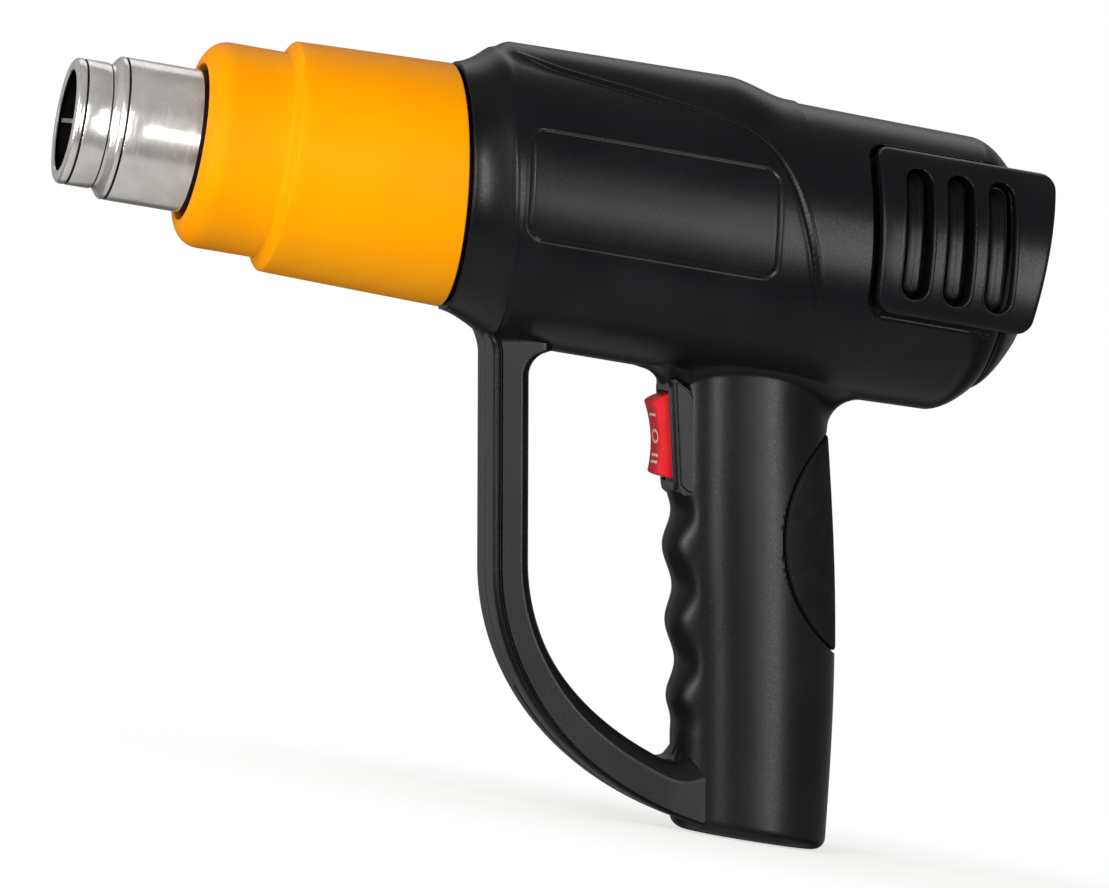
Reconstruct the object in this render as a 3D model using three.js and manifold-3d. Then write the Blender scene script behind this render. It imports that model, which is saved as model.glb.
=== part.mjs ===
// Hot air tool: a pistol-shaped heat gun with a closed hand guard.
// Millimetres, +Z up. The nozzle points to -X, the left side is -Y, and the flat end of the
// handle lies on Z = 0. Pieces are drawn in barrel coordinates: X from the nozzle mouth to the
// rear and Z from the barrel axis, and the whole tool is then lifted onto its handle.
import * as THREE from 'three';
import { mergeVertices } from 'three/addons/utils/BufferGeometryUtils.js';
import Module from 'manifold-3d';

const wasm = await Module();
wasm.setup();

// Fits
const CLEARANCE = 0.3;
const PARTING_GAP = 0.3;

// Nozzle tube
const MOUTH_RADIUS = 16.8;
const MOUTH_LENGTH = 9.9;
const MOUTH_OPENING_RADIUS = 13.5;
const MOUTH_EDGE_RADIUS = 1.5;
const SHOULDER_LENGTH = 2.4;
const TUBE_RADIUS = 19.05;
const STEEL_WALL = 0.8;
const FLANGE_RADIUS = 26;
const FLANGE_THICKNESS = 1;
const NOZZLE_REACH = 34.1;

// Heater inside the nozzle
const HEATER_SETBACK = 22;
const HEATER_TONGUE_LENGTH = 17.5;
const HEATER_TONGUE_HALF_WIDTH = 12;
const MICA_THICKNESS = 0.7;
const HEATER_PLATE_THICKNESS = 1.2;
const HEATER_END_LENGTH = 5;
const COIL_RADIUS = 14.3;
const COIL_WIRE_RADIUS = 0.7;
const COIL_TURNS = 7;
const HEATER_BASE_THICKNESS = 2.7;
const HEATER_BASE_RIM = 2.6;
const CUTOUT_LENGTH = 3.2;
const CUTOUT_SIZE = 7;
const INSULATOR_THICKNESS = 3.4;

// Front shroud
const SHROUD_NOSE_LENGTH = 21.1;
const SHROUD_NOSE_RADIUS = 27.5;
const SHROUD_NOSE_EDGE = 6;
const SHROUD_STEP_LENGTH = 2.8;
const SHROUD_SLEEVE_LENGTH = 49.4;
const SHROUD_FRONT_RADIUS = 30.8;
const SHROUD_REAR_RADIUS = 32.2;
const SHROUD_HOLE_RADIUS = 20.8;
const SHROUD_WALL = 2.2;
const SHROUD_SPIGOT_RADIUS = 30.9;
const SHROUD_GROOVE_DEPTH = 1.9;
const SHROUD_FLANGE_THICKNESS = 3.4;
const SHROUD_STOP_THICKNESS = 1.5;
const SHROUD_STOP_RADIUS = 22;

// Housing barrel
const LINE_RAKE = 5.9;
const LIP_RAKE = 6.4;
const COLLAR_RAKE = 8.5;
const LIP_RADIUS = 32.9;
const LIP_OVERLAP = 6.3;
const COLLAR_LENGTH = 10.8;
const COLLAR_RADIUS = 38.4;
const BODY_LENGTH = 148.8;
const BODY_RADIUS = 38.3;
const BODY_DROP = 0.6;
const BODY_REAR_RADIUS = 37.2;
const DOME_LENGTH = 10.5;
const DOME_END_RADIUS = 30.8;
const WALL = 2.6;
const HOUSING_RIB_THICKNESS = 3.2;
const BULKHEAD_THICKNESS = 2.5;
const BULKHEAD_HOLE_RADIUS = 20.6;

// Raised back of the housing
const RIDGE_FRONT_RISE = 2.7;
const RIDGE_REAR_RISE = 3.8;
const RIDGE_SETBACK = 6.7;
const RIDGE_LENGTH = 81;
const RIDGE_FRONT_RADIUS = 21.5;
const RIDGE_REAR_RADIUS = 32.5;
const RIDGE_NOSE_LENGTH = 4;
const RIDGE_TAIL_LENGTH = 14;

// Recessed bare panel on each side
const PANEL_SETBACK = 14.4;
const PANEL_LENGTH = 67.6;
const PANEL_HEIGHT = 28.3;
const PANEL_RISE = 3.7;
const PANEL_DEPTH = 0.7;
const PANEL_CORNER_RADIUS = 3.5;

// Side vent covers
const VENT_LENGTH = 47.8;
const VENT_HEIGHT = 43.6;
const VENT_RISE = 7.6;
const VENT_PROUD = 2.6;
const VENT_THICKNESS = 4.2;
const VENT_CORNER_RADIUS = 4;
const VENT_EDGE_GAP = 1.8;
const VENT_REAR_RAKE = -4.2;
const VENT_SKIRT_THICKNESS = 2;
const VENT_SLOT_WIDTH = 7.4;
const VENT_SLOT_HEIGHT = 34.5;
const VENT_SLOT_PITCH = 11.4;
const VENT_SLOT_SETBACK = 10.2;
const VENT_SLOTS = 3;
const VENT_SLOT_RAKE = 3.7;
const POCKET_DEPTH = 5.4;
const POCKET_WALL = 2;
const INTAKE_LENGTH = 5;
const INTAKE_HEIGHT = 28;

// Rear cap
const CAP_LENGTH = 8.4;
const CAP_END_RADIUS = 20;
const CAP_WALL = 2.3;
const CAP_RIM_THICKNESS = 3;
const CAP_RIM_DEPTH = 1.8;
const CAP_FLANGE_THICKNESS = 2;
const CAP_SLOT_WIDTH = 3;
const CAP_SLOT_PITCH = 5;
const CAP_SLOTS = 7;
const CAP_GRILLE_RADIUS = 17.5;

// Handle
const AXIS_HEIGHT = 159.2;
const HANDLE_SETBACK = 83.4;
const HANDLE_RAKE = 9.5;
const HANDLE_FRONT = 22.4;
const HANDLE_REAR = 21.2;
const HANDLE_HALF_WIDTH = 17;
const HANDLE_SQUARENESS = 2.2;
const HANDLE_WALL = 5;
const PALM_SWELL = 2.7;
const PALM_TOP_DROP = 45;
const FRONT_TAPER = 1.3;
const FRONT_TAPER_TOP_DROP = 80;
const FRONT_TAPER_END_DROP = 120;
const FINGER_DEPTH = 1.2;
const FINGER_PITCH = 19.8;
const FINGER_TOP_DROP = 85.2;
const FINGERS = 3;
const HANDLE_REAR_FILLET = 11;
const HANDLE_SIDE_FILLET = 8;
const BUTT_EDGE = 3.5;
const BUTT_WALL = 3.2;

// Hand guard
const GUARD_SETBACK = 15.3;
const GUARD_KNEE_DROP = 96.4;
const GUARD_KNEE_LEAD = 27.5;
const GUARD_FOOT_DROP = 151.9;
const GUARD_FOOT_SETBACK = 95.4;
const GUARD_FOOT_LEAD = 37.9;
const GUARD_FOOT_ANGLE = 9;
const GUARD_DEPTH = 9.6;
const GUARD_FOOT_DEPTH = 11.5;
const GUARD_WIDTH = 23;
const GUARD_EDGE = 1.4;
const GUARD_FRONT_ROOT_DROP = 30.1;
const GUARD_FRONT_FILLET = 11.6;
const GUARD_REAR_FILLET = 6.4;

// Soft inlay of the grip
const INLAY_ARC_RADIUS = 36;
const INLAY_ARC_SETBACK = 42.2;
const INLAY_DROP = 73.1;
const INLAY_THICKNESS = 2.3;
const INLAY_PROUD = 0.3;

// Rocker switch
const SWITCH_DROP = 56;
const SWITCH_REACH = 22.6;
const SWITCH_TILT = 12.5;
const SWITCH_BLOCK_WIDTH = 23;
const SWITCH_BLOCK_HEIGHT = 32;
const SWITCH_BLOCK_DEPTH = 16;
const SWITCH_BLOCK_EDGE = 1;
const BEZEL_HEIGHT = 31;
const BEZEL_WIDTH = 16.6;
const BEZEL_THICKNESS = 1.4;
const SWITCH_WALL = 0.9;
const SWITCH_DEPTH = 19;
const ROCKER_WIDTH = 12.8;
const ROCKER_HALF_HEIGHT = 9.6;
const ROCKER_END_RISE = 6.3;
const ROCKER_MIDDLE_RISE = 4.9;
const ROCKER_EDGE = 0.6;
const ROCKER_HEEL = 2;
const ROCKER_BACK = 4.2;
const ROCKER_PIVOT_DEPTH = 1.6;
const ROCKER_PIN_RADIUS = 1.4;
const ROCKER_PIN_LENGTH = 1.2;
const ROCKER_WELL_DEPTH = 7;
const TERMINAL_COUNT = 3;
const TERMINAL_PITCH = 8;
const TERMINAL_WIDTH = 6.3;
const TERMINAL_THICKNESS = 0.8;
const TERMINAL_LENGTH = 8;
const TERMINAL_SEAT = 1.5;

// Cord gland in the flat end of the handle
const GLAND_RADIUS = 7;
const GLAND_FLANGE_RADIUS = 9.2;
const GLAND_FLANGE_THICKNESS = 2.5;
const GLAND_SLEEVE_RADIUS = 6;
const GLAND_LENGTH = 14;
const GLAND_BORE_RADIUS = 3.6;
const GLAND_RECESS = 0.5;

// Air duct and fan
const DUCT_WALL = 1.6;
const DUCT_CONE_LENGTH = 24;
const DUCT_FAN_LENGTH = 24;
const DUCT_FLANGE_THICKNESS = 2.5;
const FAN_RADIUS = 28.4;
const FAN_TIP_GAP = 1.2;
const FAN_HUB_RADIUS = 9;
const FAN_LENGTH = 14;
const FAN_SETBACK = 4;
const FAN_BLADES = 7;
const FAN_BLADE_THICKNESS = 1.5;
const FAN_ROOT_PITCH = 38;
const FAN_TIP_PITCH = 62;

// Motor
const MOUNT_THICKNESS = 4;
const MOUNT_SPOKES = 4;
const MOUNT_SPOKE_WIDTH = 6;
const MOUNT_RIM = 3.5;
const MOUNT_CUP_LENGTH = 9.6;
const MOUNT_CUP_WALL = 2;
const MOTOR_RADIUS = 17.5;
const MOTOR_LENGTH = 42;
const MOTOR_WALL = 1.2;
const MAGNET_THICKNESS = 3.4;
const MAGNET_LENGTH = 28;
const MAGNET_ARC = 140;
const ARMATURE_GAP = 0.7;
const ARMATURE_LENGTH = 22;
const ARMATURE_POLES = 5;
const ARMATURE_SLOT_WIDTH = 2;
const ARMATURE_CORE_RADIUS = 5;
const COMMUTATOR_RADIUS = 4.5;
const COMMUTATOR_LENGTH = 6;
const BUSH_RADIUS = 3.4;
const BUSH_LENGTH = 4;
const SHAFT_RADIUS = 1.6;
const SHAFT_TAIL = 1.5;
const BRUSH_WIDTH = 3;
const BRUSH_THICKNESS = 4;
const BRUSH_LENGTH = 5;
const END_CAP_THICKNESS = 3.5;
const MOTOR_TAB_LENGTH = 5;
const MOTOR_TAB_WIDTH = 3;
const MOTOR_TAB_OFFSET = 10;
const BOARD_RADIUS = 14;
const BOARD_THICKNESS = 1.6;
const DIODE_RADIUS = 1.4;
const DIODE_LENGTH = 6;
const DIODE_OFFSET = 7;

// Housing screws
const SCREW_HEAD_RADIUS = 3;
const SCREW_HEAD_HEIGHT = 2.2;
const SCREW_RADIUS = 1.5;
const SCREW_LENGTH = 13;
const SCREW_SEAT = 6;
const SCREW_POST_RADIUS = 5.2;

// Facets
const BARREL_SIDES = 28;
const HANDLE_SIDES = 18;
const SMALL_SIDES = 16;
const FINE_SIDES = 12;
const SCREW_SIDES = 8;
const BEYOND = 60;

// Stations along the barrel, measured from the nozzle mouth
const shroudX = NOZZLE_REACH;
const stepX = shroudX + SHROUD_NOSE_LENGTH;
const lipX = stepX + SHROUD_SLEEVE_LENGTH;
const ribX = lipX + LIP_OVERLAP;
const ribEndX = ribX + HOUSING_RIB_THICKNESS;
const shroudEndX = ribEndX + CLEARANCE + SHROUD_FLANGE_THICKNESS;
const bulkheadX = shroudEndX + CLEARANCE;
const cavityX = bulkheadX + BULKHEAD_THICKNESS;
const insulatorX = bulkheadX - CLEARANCE - INSULATOR_THICKNESS;
const flangeX = insulatorX - CLEARANCE - FLANGE_THICKNESS;
const nozzleEndX = flangeX + FLANGE_THICKNESS;
const heaterEndX = nozzleEndX - HEATER_BASE_THICKNESS - CLEARANCE;
const bodyEndX = lipX + BODY_LENGTH;
const domeX = bodyEndX - DOME_LENGTH;
const toolEndX = bodyEndX + CAP_LENGTH;
const handleX = lipX + HANDLE_SETBACK;
const ductX = cavityX + CLEARANCE;
const fanDuctX = ductX + DUCT_CONE_LENGTH;
const ductEndX = fanDuctX + DUCT_FAN_LENGTH;
const fanX = fanDuctX + FAN_SETBACK;
const fanEndX = fanX + FAN_LENGTH;
const mountX = ductEndX + CLEARANCE;
const mountEndX = mountX + MOUNT_THICKNESS;
const motorX = mountEndX + CLEARANCE;
const motorEndX = motorX + MOTOR_LENGTH;
const endCapX = motorEndX + CLEARANCE;
const endCapEndX = endCapX + END_CAP_THICKNESS;
const boardX = endCapEndX + MOTOR_TAB_LENGTH + CLEARANCE;

// Slopes and levels
const slopeOf = (degrees) => Math.tan(THREE.MathUtils.degToRad(degrees));
const lineSlope = slopeOf(LINE_RAKE);
const lipSlope = slopeOf(LIP_RAKE);
const collarSlope = slopeOf(COLLAR_RAKE);
const slotSlope = slopeOf(VENT_SLOT_RAKE);
const ventRearSlope = slopeOf(VENT_REAR_RAKE);
const handleSlope = slopeOf(HANDLE_RAKE);
const undersideZ = -BODY_RADIUS - BODY_DROP;
const buttZ = -AXIS_HEIGHT;
const cavityRadius = BODY_RADIUS - WALL;
const tubeBoreRadius = TUBE_RADIUS - STEEL_WALL;
const sleeveBoreRadius = tubeBoreRadius - CLEARANCE - MICA_THICKNESS;
const fanDuctRadius = FAN_RADIUS + FAN_TIP_GAP;
const motorBoreRadius = MOTOR_RADIUS - MOTOR_WALL;
const magnetRadius = motorBoreRadius - CLEARANCE;
const armatureRadius = magnetRadius - MAGNET_THICKNESS - ARMATURE_GAP;
const shaftHoleRadius = SHAFT_RADIUS + CLEARANCE;
const screwHoleRadius = SCREW_RADIUS + CLEARANCE;
const spigotBoreRadius = SHROUD_SPIGOT_RADIUS + CLEARANCE;
const grooveRadius = SHROUD_SPIGOT_RADIUS - SHROUD_GROOVE_DEPTH;
const capHoleRadius = DOME_END_RADIUS - CAP_RIM_DEPTH;

// A closed geometry as a solid to join and cut, with its faces turned outwards
function solid(geometry) {
  const bare = new THREE.BufferGeometry();
  bare.setAttribute('position', geometry.getAttribute('position'));
  bare.setIndex(geometry.index);
  const merged = mergeVertices(bare);
  const points = merged.getAttribute('position');
  const faces = [];
  const corners = Array.from({ length: 3 }, () => new THREE.Vector3());
  let volume = 0;
  for (let i = 0; i < merged.index.count; i += 3) {
    const [a, b, c] = corners.map((_, k) => merged.index.getX(i + k));
    if (a === b || b === c || c === a) continue;
    faces.push(a, b, c);
    [a, b, c].forEach((index, k) => corners[k].fromBufferAttribute(points, index));
    volume += corners[0].dot(corners[1].clone().cross(corners[2]));
  }
  if (volume < 0) faces.reverse();
  const mesh = new wasm.Mesh({
    numProp: 3,
    vertProperties: new Float32Array(points.array),
    triVerts: new Uint32Array(faces),
  });
  return new wasm.Manifold(mesh);
}

// A finished solid as a geometry
function geometryOf(made) {
  const mesh = made.getMesh();
  const geometry = new THREE.BufferGeometry();
  geometry.setAttribute('position', new THREE.BufferAttribute(mesh.vertProperties, 3));
  geometry.setIndex(new THREE.BufferAttribute(mesh.triVerts, 1));
  geometry.computeVertexNormals();
  return geometry;
}

const join = (first, ...others) => others.reduce((made, other) => made.add(other), first);
const cut = (first, ...others) => others.reduce((made, other) => made.subtract(other), first);

// The same solid on the other side of the middle plane
const mirrored = (made) => solid(geometryOf(made).scale(1, -1, 1));

// A ring of points, each from its angle, with a flat facet across the middle plane
function ringOf(sides, pointAt) {
  return Array.from({ length: sides }, (_, k) => pointAt((2 * Math.PI * (k + 0.5)) / sides));
}

// A closed solid skinned over rings that hold the same number of points
function skin(rings) {
  const count = rings[0].length;
  const points = rings.flat();
  const faces = [];
  for (let r = 0; r + 1 < rings.length; r += 1) {
    for (let k = 0; k < count; k += 1) {
      const a = r * count + k;
      const b = r * count + ((k + 1) % count);
      faces.push(a, b, a + count, b, b + count, a + count);
    }
  }
  const closeEnd = (start, turned) => {
    const middle = new THREE.Vector3();
    for (let k = 0; k < count; k += 1) middle.addScaledVector(points[start + k], 1 / count);
    points.push(middle);
    for (let k = 0; k < count; k += 1) {
      const a = start + k;
      const b = start + ((k + 1) % count);
      faces.push(...(turned ? [b, a] : [a, b]), points.length - 1);
    }
  };
  closeEnd(0, true);
  closeEnd((rings.length - 1) * count, false);
  const geometry = new THREE.BufferGeometry().setFromPoints(points);
  geometry.setIndex(faces);
  return solid(geometry);
}

// A round section across the barrel, lowered by drop and leaning back by slope towards the foot
function disc(x, radius, drop = 0, slope = 0, sides = BARREL_SIDES) {
  return ringOf(sides, (angle) => {
    const rise = radius * Math.sin(angle);
    return new THREE.Vector3(x - rise * slope, radius * Math.cos(angle), rise - drop);
  });
}

// Revolved solids: profiles are [radius, distance along the axis]
function lathe(profile, sides) {
  return new THREE.LatheGeometry(profile.map(([r, h]) => new THREE.Vector2(r, h)), sides);
}
function revolveX(profile, sides = BARREL_SIDES) {
  return solid(lathe(profile, sides).rotateZ(-Math.PI / 2).rotateX(Math.PI / sides));
}
const revolveY = (profile, sides) => solid(lathe(profile, sides));
const closed = (profile) => [...profile, profile[0]];
const rod = (radius, from, to) => [[0, from], [radius, from], [radius, to], [0, to]];
const tube = (bore, radius, from, to) => closed([[bore, from], [radius, from], [radius, to], [bore, to]]);

// Shapes drawn in X and Z, extruded across the tool between two Y values
function prismY(shape, low, high, curveSegments = 4) {
  const settings = { depth: high - low, bevelEnabled: false, curveSegments };
  const geometry = new THREE.ExtrudeGeometry(shape, settings);
  return solid(geometry.rotateX(Math.PI / 2).translate(0, high, 0));
}

// The same with rounded edges, centred on the middle plane
function roundedPrismY(shape, width, edge, curveSegments = 4) {
  const geometry = new THREE.ExtrudeGeometry(shape, {
    depth: width - 2 * edge,
    bevelThickness: edge,
    bevelSize: edge,
    bevelOffset: -edge,
    bevelSegments: 2,
    curveSegments,
  });
  return geometry.rotateX(Math.PI / 2).translate(0, width / 2 - edge, 0);
}

// Shapes drawn in Y and Z, extruded along the barrel between two stations
function prismX(shape, from, to) {
  const geometry = new THREE.ExtrudeGeometry(shape, { depth: to - from, bevelEnabled: false });
  const turn = new THREE.Matrix4().makeBasis(
    new THREE.Vector3(0, 1, 0),
    new THREE.Vector3(0, 0, 1),
    new THREE.Vector3(1, 0, 0),
  );
  return solid(geometry.applyMatrix4(turn).translate(from, 0, 0));
}

function block(from, to) {
  const size = to.map((high, k) => high - from[k]);
  const middle = to.map((high, k) => (high + from[k]) / 2);
  return solid(new THREE.BoxGeometry(...size).translate(...middle));
}

const shapeOf = (points) => new THREE.Shape(points.map(([x, z]) => new THREE.Vector2(x, z)));

// A four-sided outline with round corners; its sides lean back towards the foot
function leaningPanel(left, right, low, high, radius, leftSlope = lineSlope, rightSlope = leftSlope) {
  const middle = (low + high) / 2;
  const at = (x, z, slope) => new THREE.Vector2(x - (z - middle) * slope, z);
  const corners = [
    at(left, low, leftSlope), at(right, low, rightSlope),
    at(right, high, rightSlope), at(left, high, leftSlope),
  ];
  const shape = new THREE.Shape();
  corners.forEach((corner, k) => {
    const before = corners[(k + 3) % 4].clone().sub(corner).setLength(radius).add(corner);
    const after = corners[(k + 1) % 4].clone().sub(corner).setLength(radius).add(corner);
    if (k === 0) shape.moveTo(before.x, before.y);
    else shape.lineTo(before.x, before.y);
    shape.quadraticCurveTo(corner.x, corner.y, after.x, after.y);
  });
  shape.closePath();
  return shape;
}

// Points along an arc, and closed outlines made of them
function arcPoints(radius, from, to, steps, rise = 0) {
  return Array.from({ length: steps + 1 }, (_, k) => {
    const angle = from + ((to - from) * k) / steps;
    return new THREE.Vector2(radius * Math.cos(angle), radius * Math.sin(angle) + rise);
  });
}

function sector(inner, outer, from, to, steps = 5) {
  return new THREE.Shape([...arcPoints(outer, from, to, steps), ...arcPoints(inner, to, from, steps)]);
}

function circle(radius, sides, rise = 0) {
  return new THREE.Shape(arcPoints(radius, 0, 2 * Math.PI, sides, rise).slice(1));
}

// The extra reach of a hollow fillet at a distance from the wall that it meets
function fillet(distance, radius) {
  const height = THREE.MathUtils.clamp(radius - distance, 0, radius);
  return radius - Math.sqrt(radius * radius - height * height);
}

const smooth = THREE.MathUtils.smoothstep;

// Barrel of the housing: a flared collar, a near-cylinder and a domed end
function barrelForm() {
  const rings = [];
  for (const share of [0, 0.35, 0.7, 1]) {
    const radius = LIP_RADIUS + (COLLAR_RADIUS - LIP_RADIUS) * share ** 1.5;
    const slope = THREE.MathUtils.lerp(lipSlope, collarSlope, share);
    rings.push(disc(lipX + COLLAR_LENGTH * share, radius, 0, slope));
  }
  rings.push(disc(lipX + COLLAR_LENGTH + WALL / 2, BODY_RADIUS - WALL / 8, BODY_DROP / 2, lineSlope));
  rings.push(disc(cavityX + WALL, BODY_RADIUS, BODY_DROP));
  rings.push(disc(handleX, BODY_RADIUS, BODY_DROP));
  for (const share of [0, 0.4, 0.72, 1]) {
    const radius = BODY_REAR_RADIUS - (BODY_REAR_RADIUS - DOME_END_RADIUS) * share ** 2;
    rings.push(disc(domeX + DOME_LENGTH * share, radius, BODY_DROP * (1 - share)));
  }
  return skin(rings);
}

// Raised back, an arch that widens to the rear and dies into the barrel
function ridgeForm() {
  const bodyTop = BODY_RADIUS - BODY_DROP;
  const tailX = RIDGE_LENGTH - RIDGE_TAIL_LENGTH;
  const stations = [
    [0, 0], [RIDGE_NOSE_LENGTH / 2, 0.66], [RIDGE_NOSE_LENGTH, 1], [tailX, 1],
    [tailX + RIDGE_TAIL_LENGTH * 0.3, 0.78], [tailX + RIDGE_TAIL_LENGTH * 0.65, 0.35], [RIDGE_LENGTH, 0],
  ];
  const rings = stations.map(([along, share]) => {
    const radius = THREE.MathUtils.lerp(RIDGE_FRONT_RADIUS, RIDGE_REAR_RADIUS, along / RIDGE_LENGTH);
    const rise = THREE.MathUtils.lerp(RIDGE_FRONT_RISE, RIDGE_REAR_RISE, along / RIDGE_LENGTH);
    const top = bodyTop + rise * share - BODY_DROP * (1 - share);
    return disc(lipX + RIDGE_SETBACK + along, radius, radius - top, lineSlope / 2);
  });
  return skin(rings);
}

// Straight stretch of the body's surface, moved across the tool
function bodySurface(shift) {
  const rings = [lipX, toolEndX + BEYOND].map((x) => disc(x, BODY_RADIUS, BODY_DROP));
  rings.flat().forEach((point) => point.setY(point.y + shift));
  return skin(rings);
}

// Handle: level sections along a raked centre line, with finger grooves and a palm swell
const handleCentre = (z) => handleX - z * handleSlope;

function handleFront(z) {
  const lowest = -FINGER_TOP_DROP - FINGER_PITCH * (FINGERS - 1);
  const fade = smooth(z, lowest - FINGER_PITCH / 2, lowest)
    * (1 - smooth(z, -FINGER_TOP_DROP + FINGER_PITCH / 2, -FINGER_TOP_DROP + FINGER_PITCH));
  const wave = fade * FINGER_DEPTH * Math.cos((2 * Math.PI * (z + FINGER_TOP_DROP)) / FINGER_PITCH);
  return HANDLE_FRONT + wave - FRONT_TAPER * smooth(-z, FRONT_TAPER_TOP_DROP, FRONT_TAPER_END_DROP);
}

function handleRear(z) {
  const share = THREE.MathUtils.clamp((z - buttZ) / (AXIS_HEIGHT - PALM_TOP_DROP), 0, 1);
  return HANDLE_REAR + PALM_SWELL * Math.sin(Math.PI * share) + fillet(undersideZ - z, HANDLE_REAR_FILLET);
}

function handleHalfWidth(z) {
  const meetingZ = -BODY_DROP - Math.sqrt(BODY_RADIUS ** 2 - HANDLE_HALF_WIDTH ** 2);
  return HANDLE_HALF_WIDTH + fillet(meetingZ - z, HANDLE_SIDE_FILLET);
}

function handleRing(z, inset) {
  const front = handleFront(z) - inset;
  const rear = handleRear(z) - inset;
  const half = handleHalfWidth(z) - inset;
  const bulge = (share) => Math.sign(share) * Math.abs(share) ** (2 / HANDLE_SQUARENESS);
  return ringOf(HANDLE_SIDES, (angle) => {
    const reach = Math.cos(angle) > 0 ? rear : front;
    const x = handleCentre(z) + reach * bulge(Math.cos(angle));
    return new THREE.Vector3(x, half * bulge(Math.sin(angle)), z);
  });
}

// Heights of the handle's sections over its grip, and above it through the fillet into the barrel
function gripLevels(steps) {
  const lowest = -FINGER_TOP_DROP - FINGER_PITCH * (FINGERS - 0.5);
  const highest = -FINGER_TOP_DROP + FINGER_PITCH;
  return Array.from({ length: steps + 1 }, (_, k) => lowest + ((highest - lowest) * k) / steps);
}

function rootLevels() {
  const low = undersideZ - HANDLE_REAR_FILLET;
  const levels = [0, 0.4, 0.7, 1].map((share) => low + HANDLE_REAR_FILLET * share);
  return [...levels, undersideZ / 2];
}

function handleForm() {
  const foot = [[0, 1], [0.3, 0.3], [1, 0]].map(([rise, inset]) => (
    handleRing(buttZ + BUTT_EDGE * rise, BUTT_EDGE * inset)
  ));
  const above = [...gripLevels(FINGERS * 5), ...rootLevels()];
  return skin([...foot, ...above.map((z) => handleRing(z, 0))]);
}

// The handle in fewer sections, smaller or larger all round
const handleCore = (inset, levels) => skin(levels.map((z) => handleRing(z, inset)));

// Hand guard: a bar that follows the handle's rake, then sweeps back to the foot of the handle
const guardRearRootZ = undersideZ - (GUARD_DEPTH / 2 + GUARD_REAR_FILLET) * handleSlope;

function guardPath() {
  const rake = THREE.MathUtils.degToRad(HANDLE_RAKE);
  const foot = THREE.MathUtils.degToRad(GUARD_FOOT_ANGLE);
  const at = (z) => new THREE.Vector2(lipX + GUARD_SETBACK - z * handleSlope, z);
  const knee = at(-GUARD_KNEE_DROP);
  const down = new THREE.Vector2(Math.sin(rake), -Math.cos(rake));
  const back = new THREE.Vector2(Math.cos(foot), -Math.sin(foot));
  const end = new THREE.Vector2(lipX + GUARD_FOOT_SETBACK, -GUARD_FOOT_DROP);
  const bend = new THREE.CubicBezierCurve(
    knee,
    knee.clone().addScaledVector(down, GUARD_KNEE_LEAD),
    end.clone().addScaledVector(back, -GUARD_FOOT_LEAD),
    end,
  );
  const shares = [0, 0.06, 0.2, 0.42, 0.7, 1];
  const path = [
    -GUARD_FRONT_ROOT_DROP + WALL,
    ...shares.map((share) => -GUARD_FRONT_ROOT_DROP - GUARD_FRONT_FILLET * share),
    ...shares.map((share) => guardRearRootZ - GUARD_REAR_FILLET * share),
  ].sort((a, b) => b - a);
  const straight = path.map((z) => ({ point: at(z), along: down, depth: GUARD_DEPTH }));
  const steps = 11;
  const curved = Array.from({ length: steps + 1 }, (_, k) => ({
    point: bend.getPoint(k / steps),
    along: bend.getTangent(k / steps),
    depth: THREE.MathUtils.lerp(GUARD_DEPTH, GUARD_FOOT_DEPTH, k / steps),
  }));
  return [...straight, ...curved];
}

function guardForm() {
  const front = [];
  const rear = [];
  for (const { point, along, depth } of guardPath()) {
    const across = new THREE.Vector2(-along.y, along.x);
    const frontReach = depth / 2 + fillet(-GUARD_FRONT_ROOT_DROP - point.y, GUARD_FRONT_FILLET);
    const rearReach = depth / 2 + fillet(guardRearRootZ - point.y, GUARD_REAR_FILLET);
    front.push(point.clone().addScaledVector(across, -frontReach));
    rear.push(point.clone().addScaledVector(across, rearReach));
  }
  const outline = new THREE.Shape([...front, ...rear.reverse()]);
  return solid(roundedPrismY(outline, GUARD_WIDTH, GUARD_EDGE));
}

// Switch seat: the rocker's face lies at X = 0 of its own frame, which leans with the handle
const switchAngle = -THREE.MathUtils.degToRad(SWITCH_TILT);
const switchPlace = new THREE.Vector3(handleCentre(-SWITCH_DROP) - SWITCH_REACH, 0, -SWITCH_DROP);
const switchHalfHeight = BEZEL_HEIGHT / 2 - SWITCH_WALL;
const switchHalfWidth = ROCKER_WIDTH / 2 + CLEARANCE + SWITCH_WALL;
const atSwitch = (geometry) => solid(geometry.rotateY(switchAngle).translate(...switchPlace));

function switchBox(from, to) {
  const size = to.map((high, k) => high - from[k]);
  const middle = to.map((high, k) => (high + from[k]) / 2);
  return new THREE.BoxGeometry(...size).translate(...middle);
}

function switchBlockForm() {
  const half = SWITCH_BLOCK_HEIGHT / 2;
  const outline = shapeOf([[0, -half], [SWITCH_BLOCK_DEPTH, -half], [SWITCH_BLOCK_DEPTH, half], [0, half]]);
  return atSwitch(roundedPrismY(outline, SWITCH_BLOCK_WIDTH, SWITCH_BLOCK_EDGE));
}

function switchCuts() {
  const half = SWITCH_BLOCK_HEIGHT / 2;
  const face = atSwitch(switchBox([-WALL * 4, -BEYOND / 2, -half], [0, BEYOND / 2, half]));
  const hole = atSwitch(switchBox(
    [-WALL, -switchHalfWidth - CLEARANCE, -switchHalfHeight - CLEARANCE],
    [SWITCH_DEPTH + TERMINAL_LENGTH, switchHalfWidth + CLEARANCE, switchHalfHeight + CLEARANCE],
  ));
  return [face, hole];
}

// Side vent outline, its pocket in the housing and the intake hole in the pocket
const ventLow = VENT_RISE - VENT_HEIGHT / 2;
const ventHigh = VENT_RISE + VENT_HEIGHT / 2;
const ventFrontX = toolEndX - VENT_LENGTH;

function pocketOutline(grow) {
  const left = ventFrontX - VENT_EDGE_GAP - grow;
  const low = ventLow - VENT_EDGE_GAP - grow;
  return leaningPanel(left, toolEndX + BEYOND, low, ventHigh + CLEARANCE + grow, VENT_CORNER_RADIUS);
}

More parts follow.
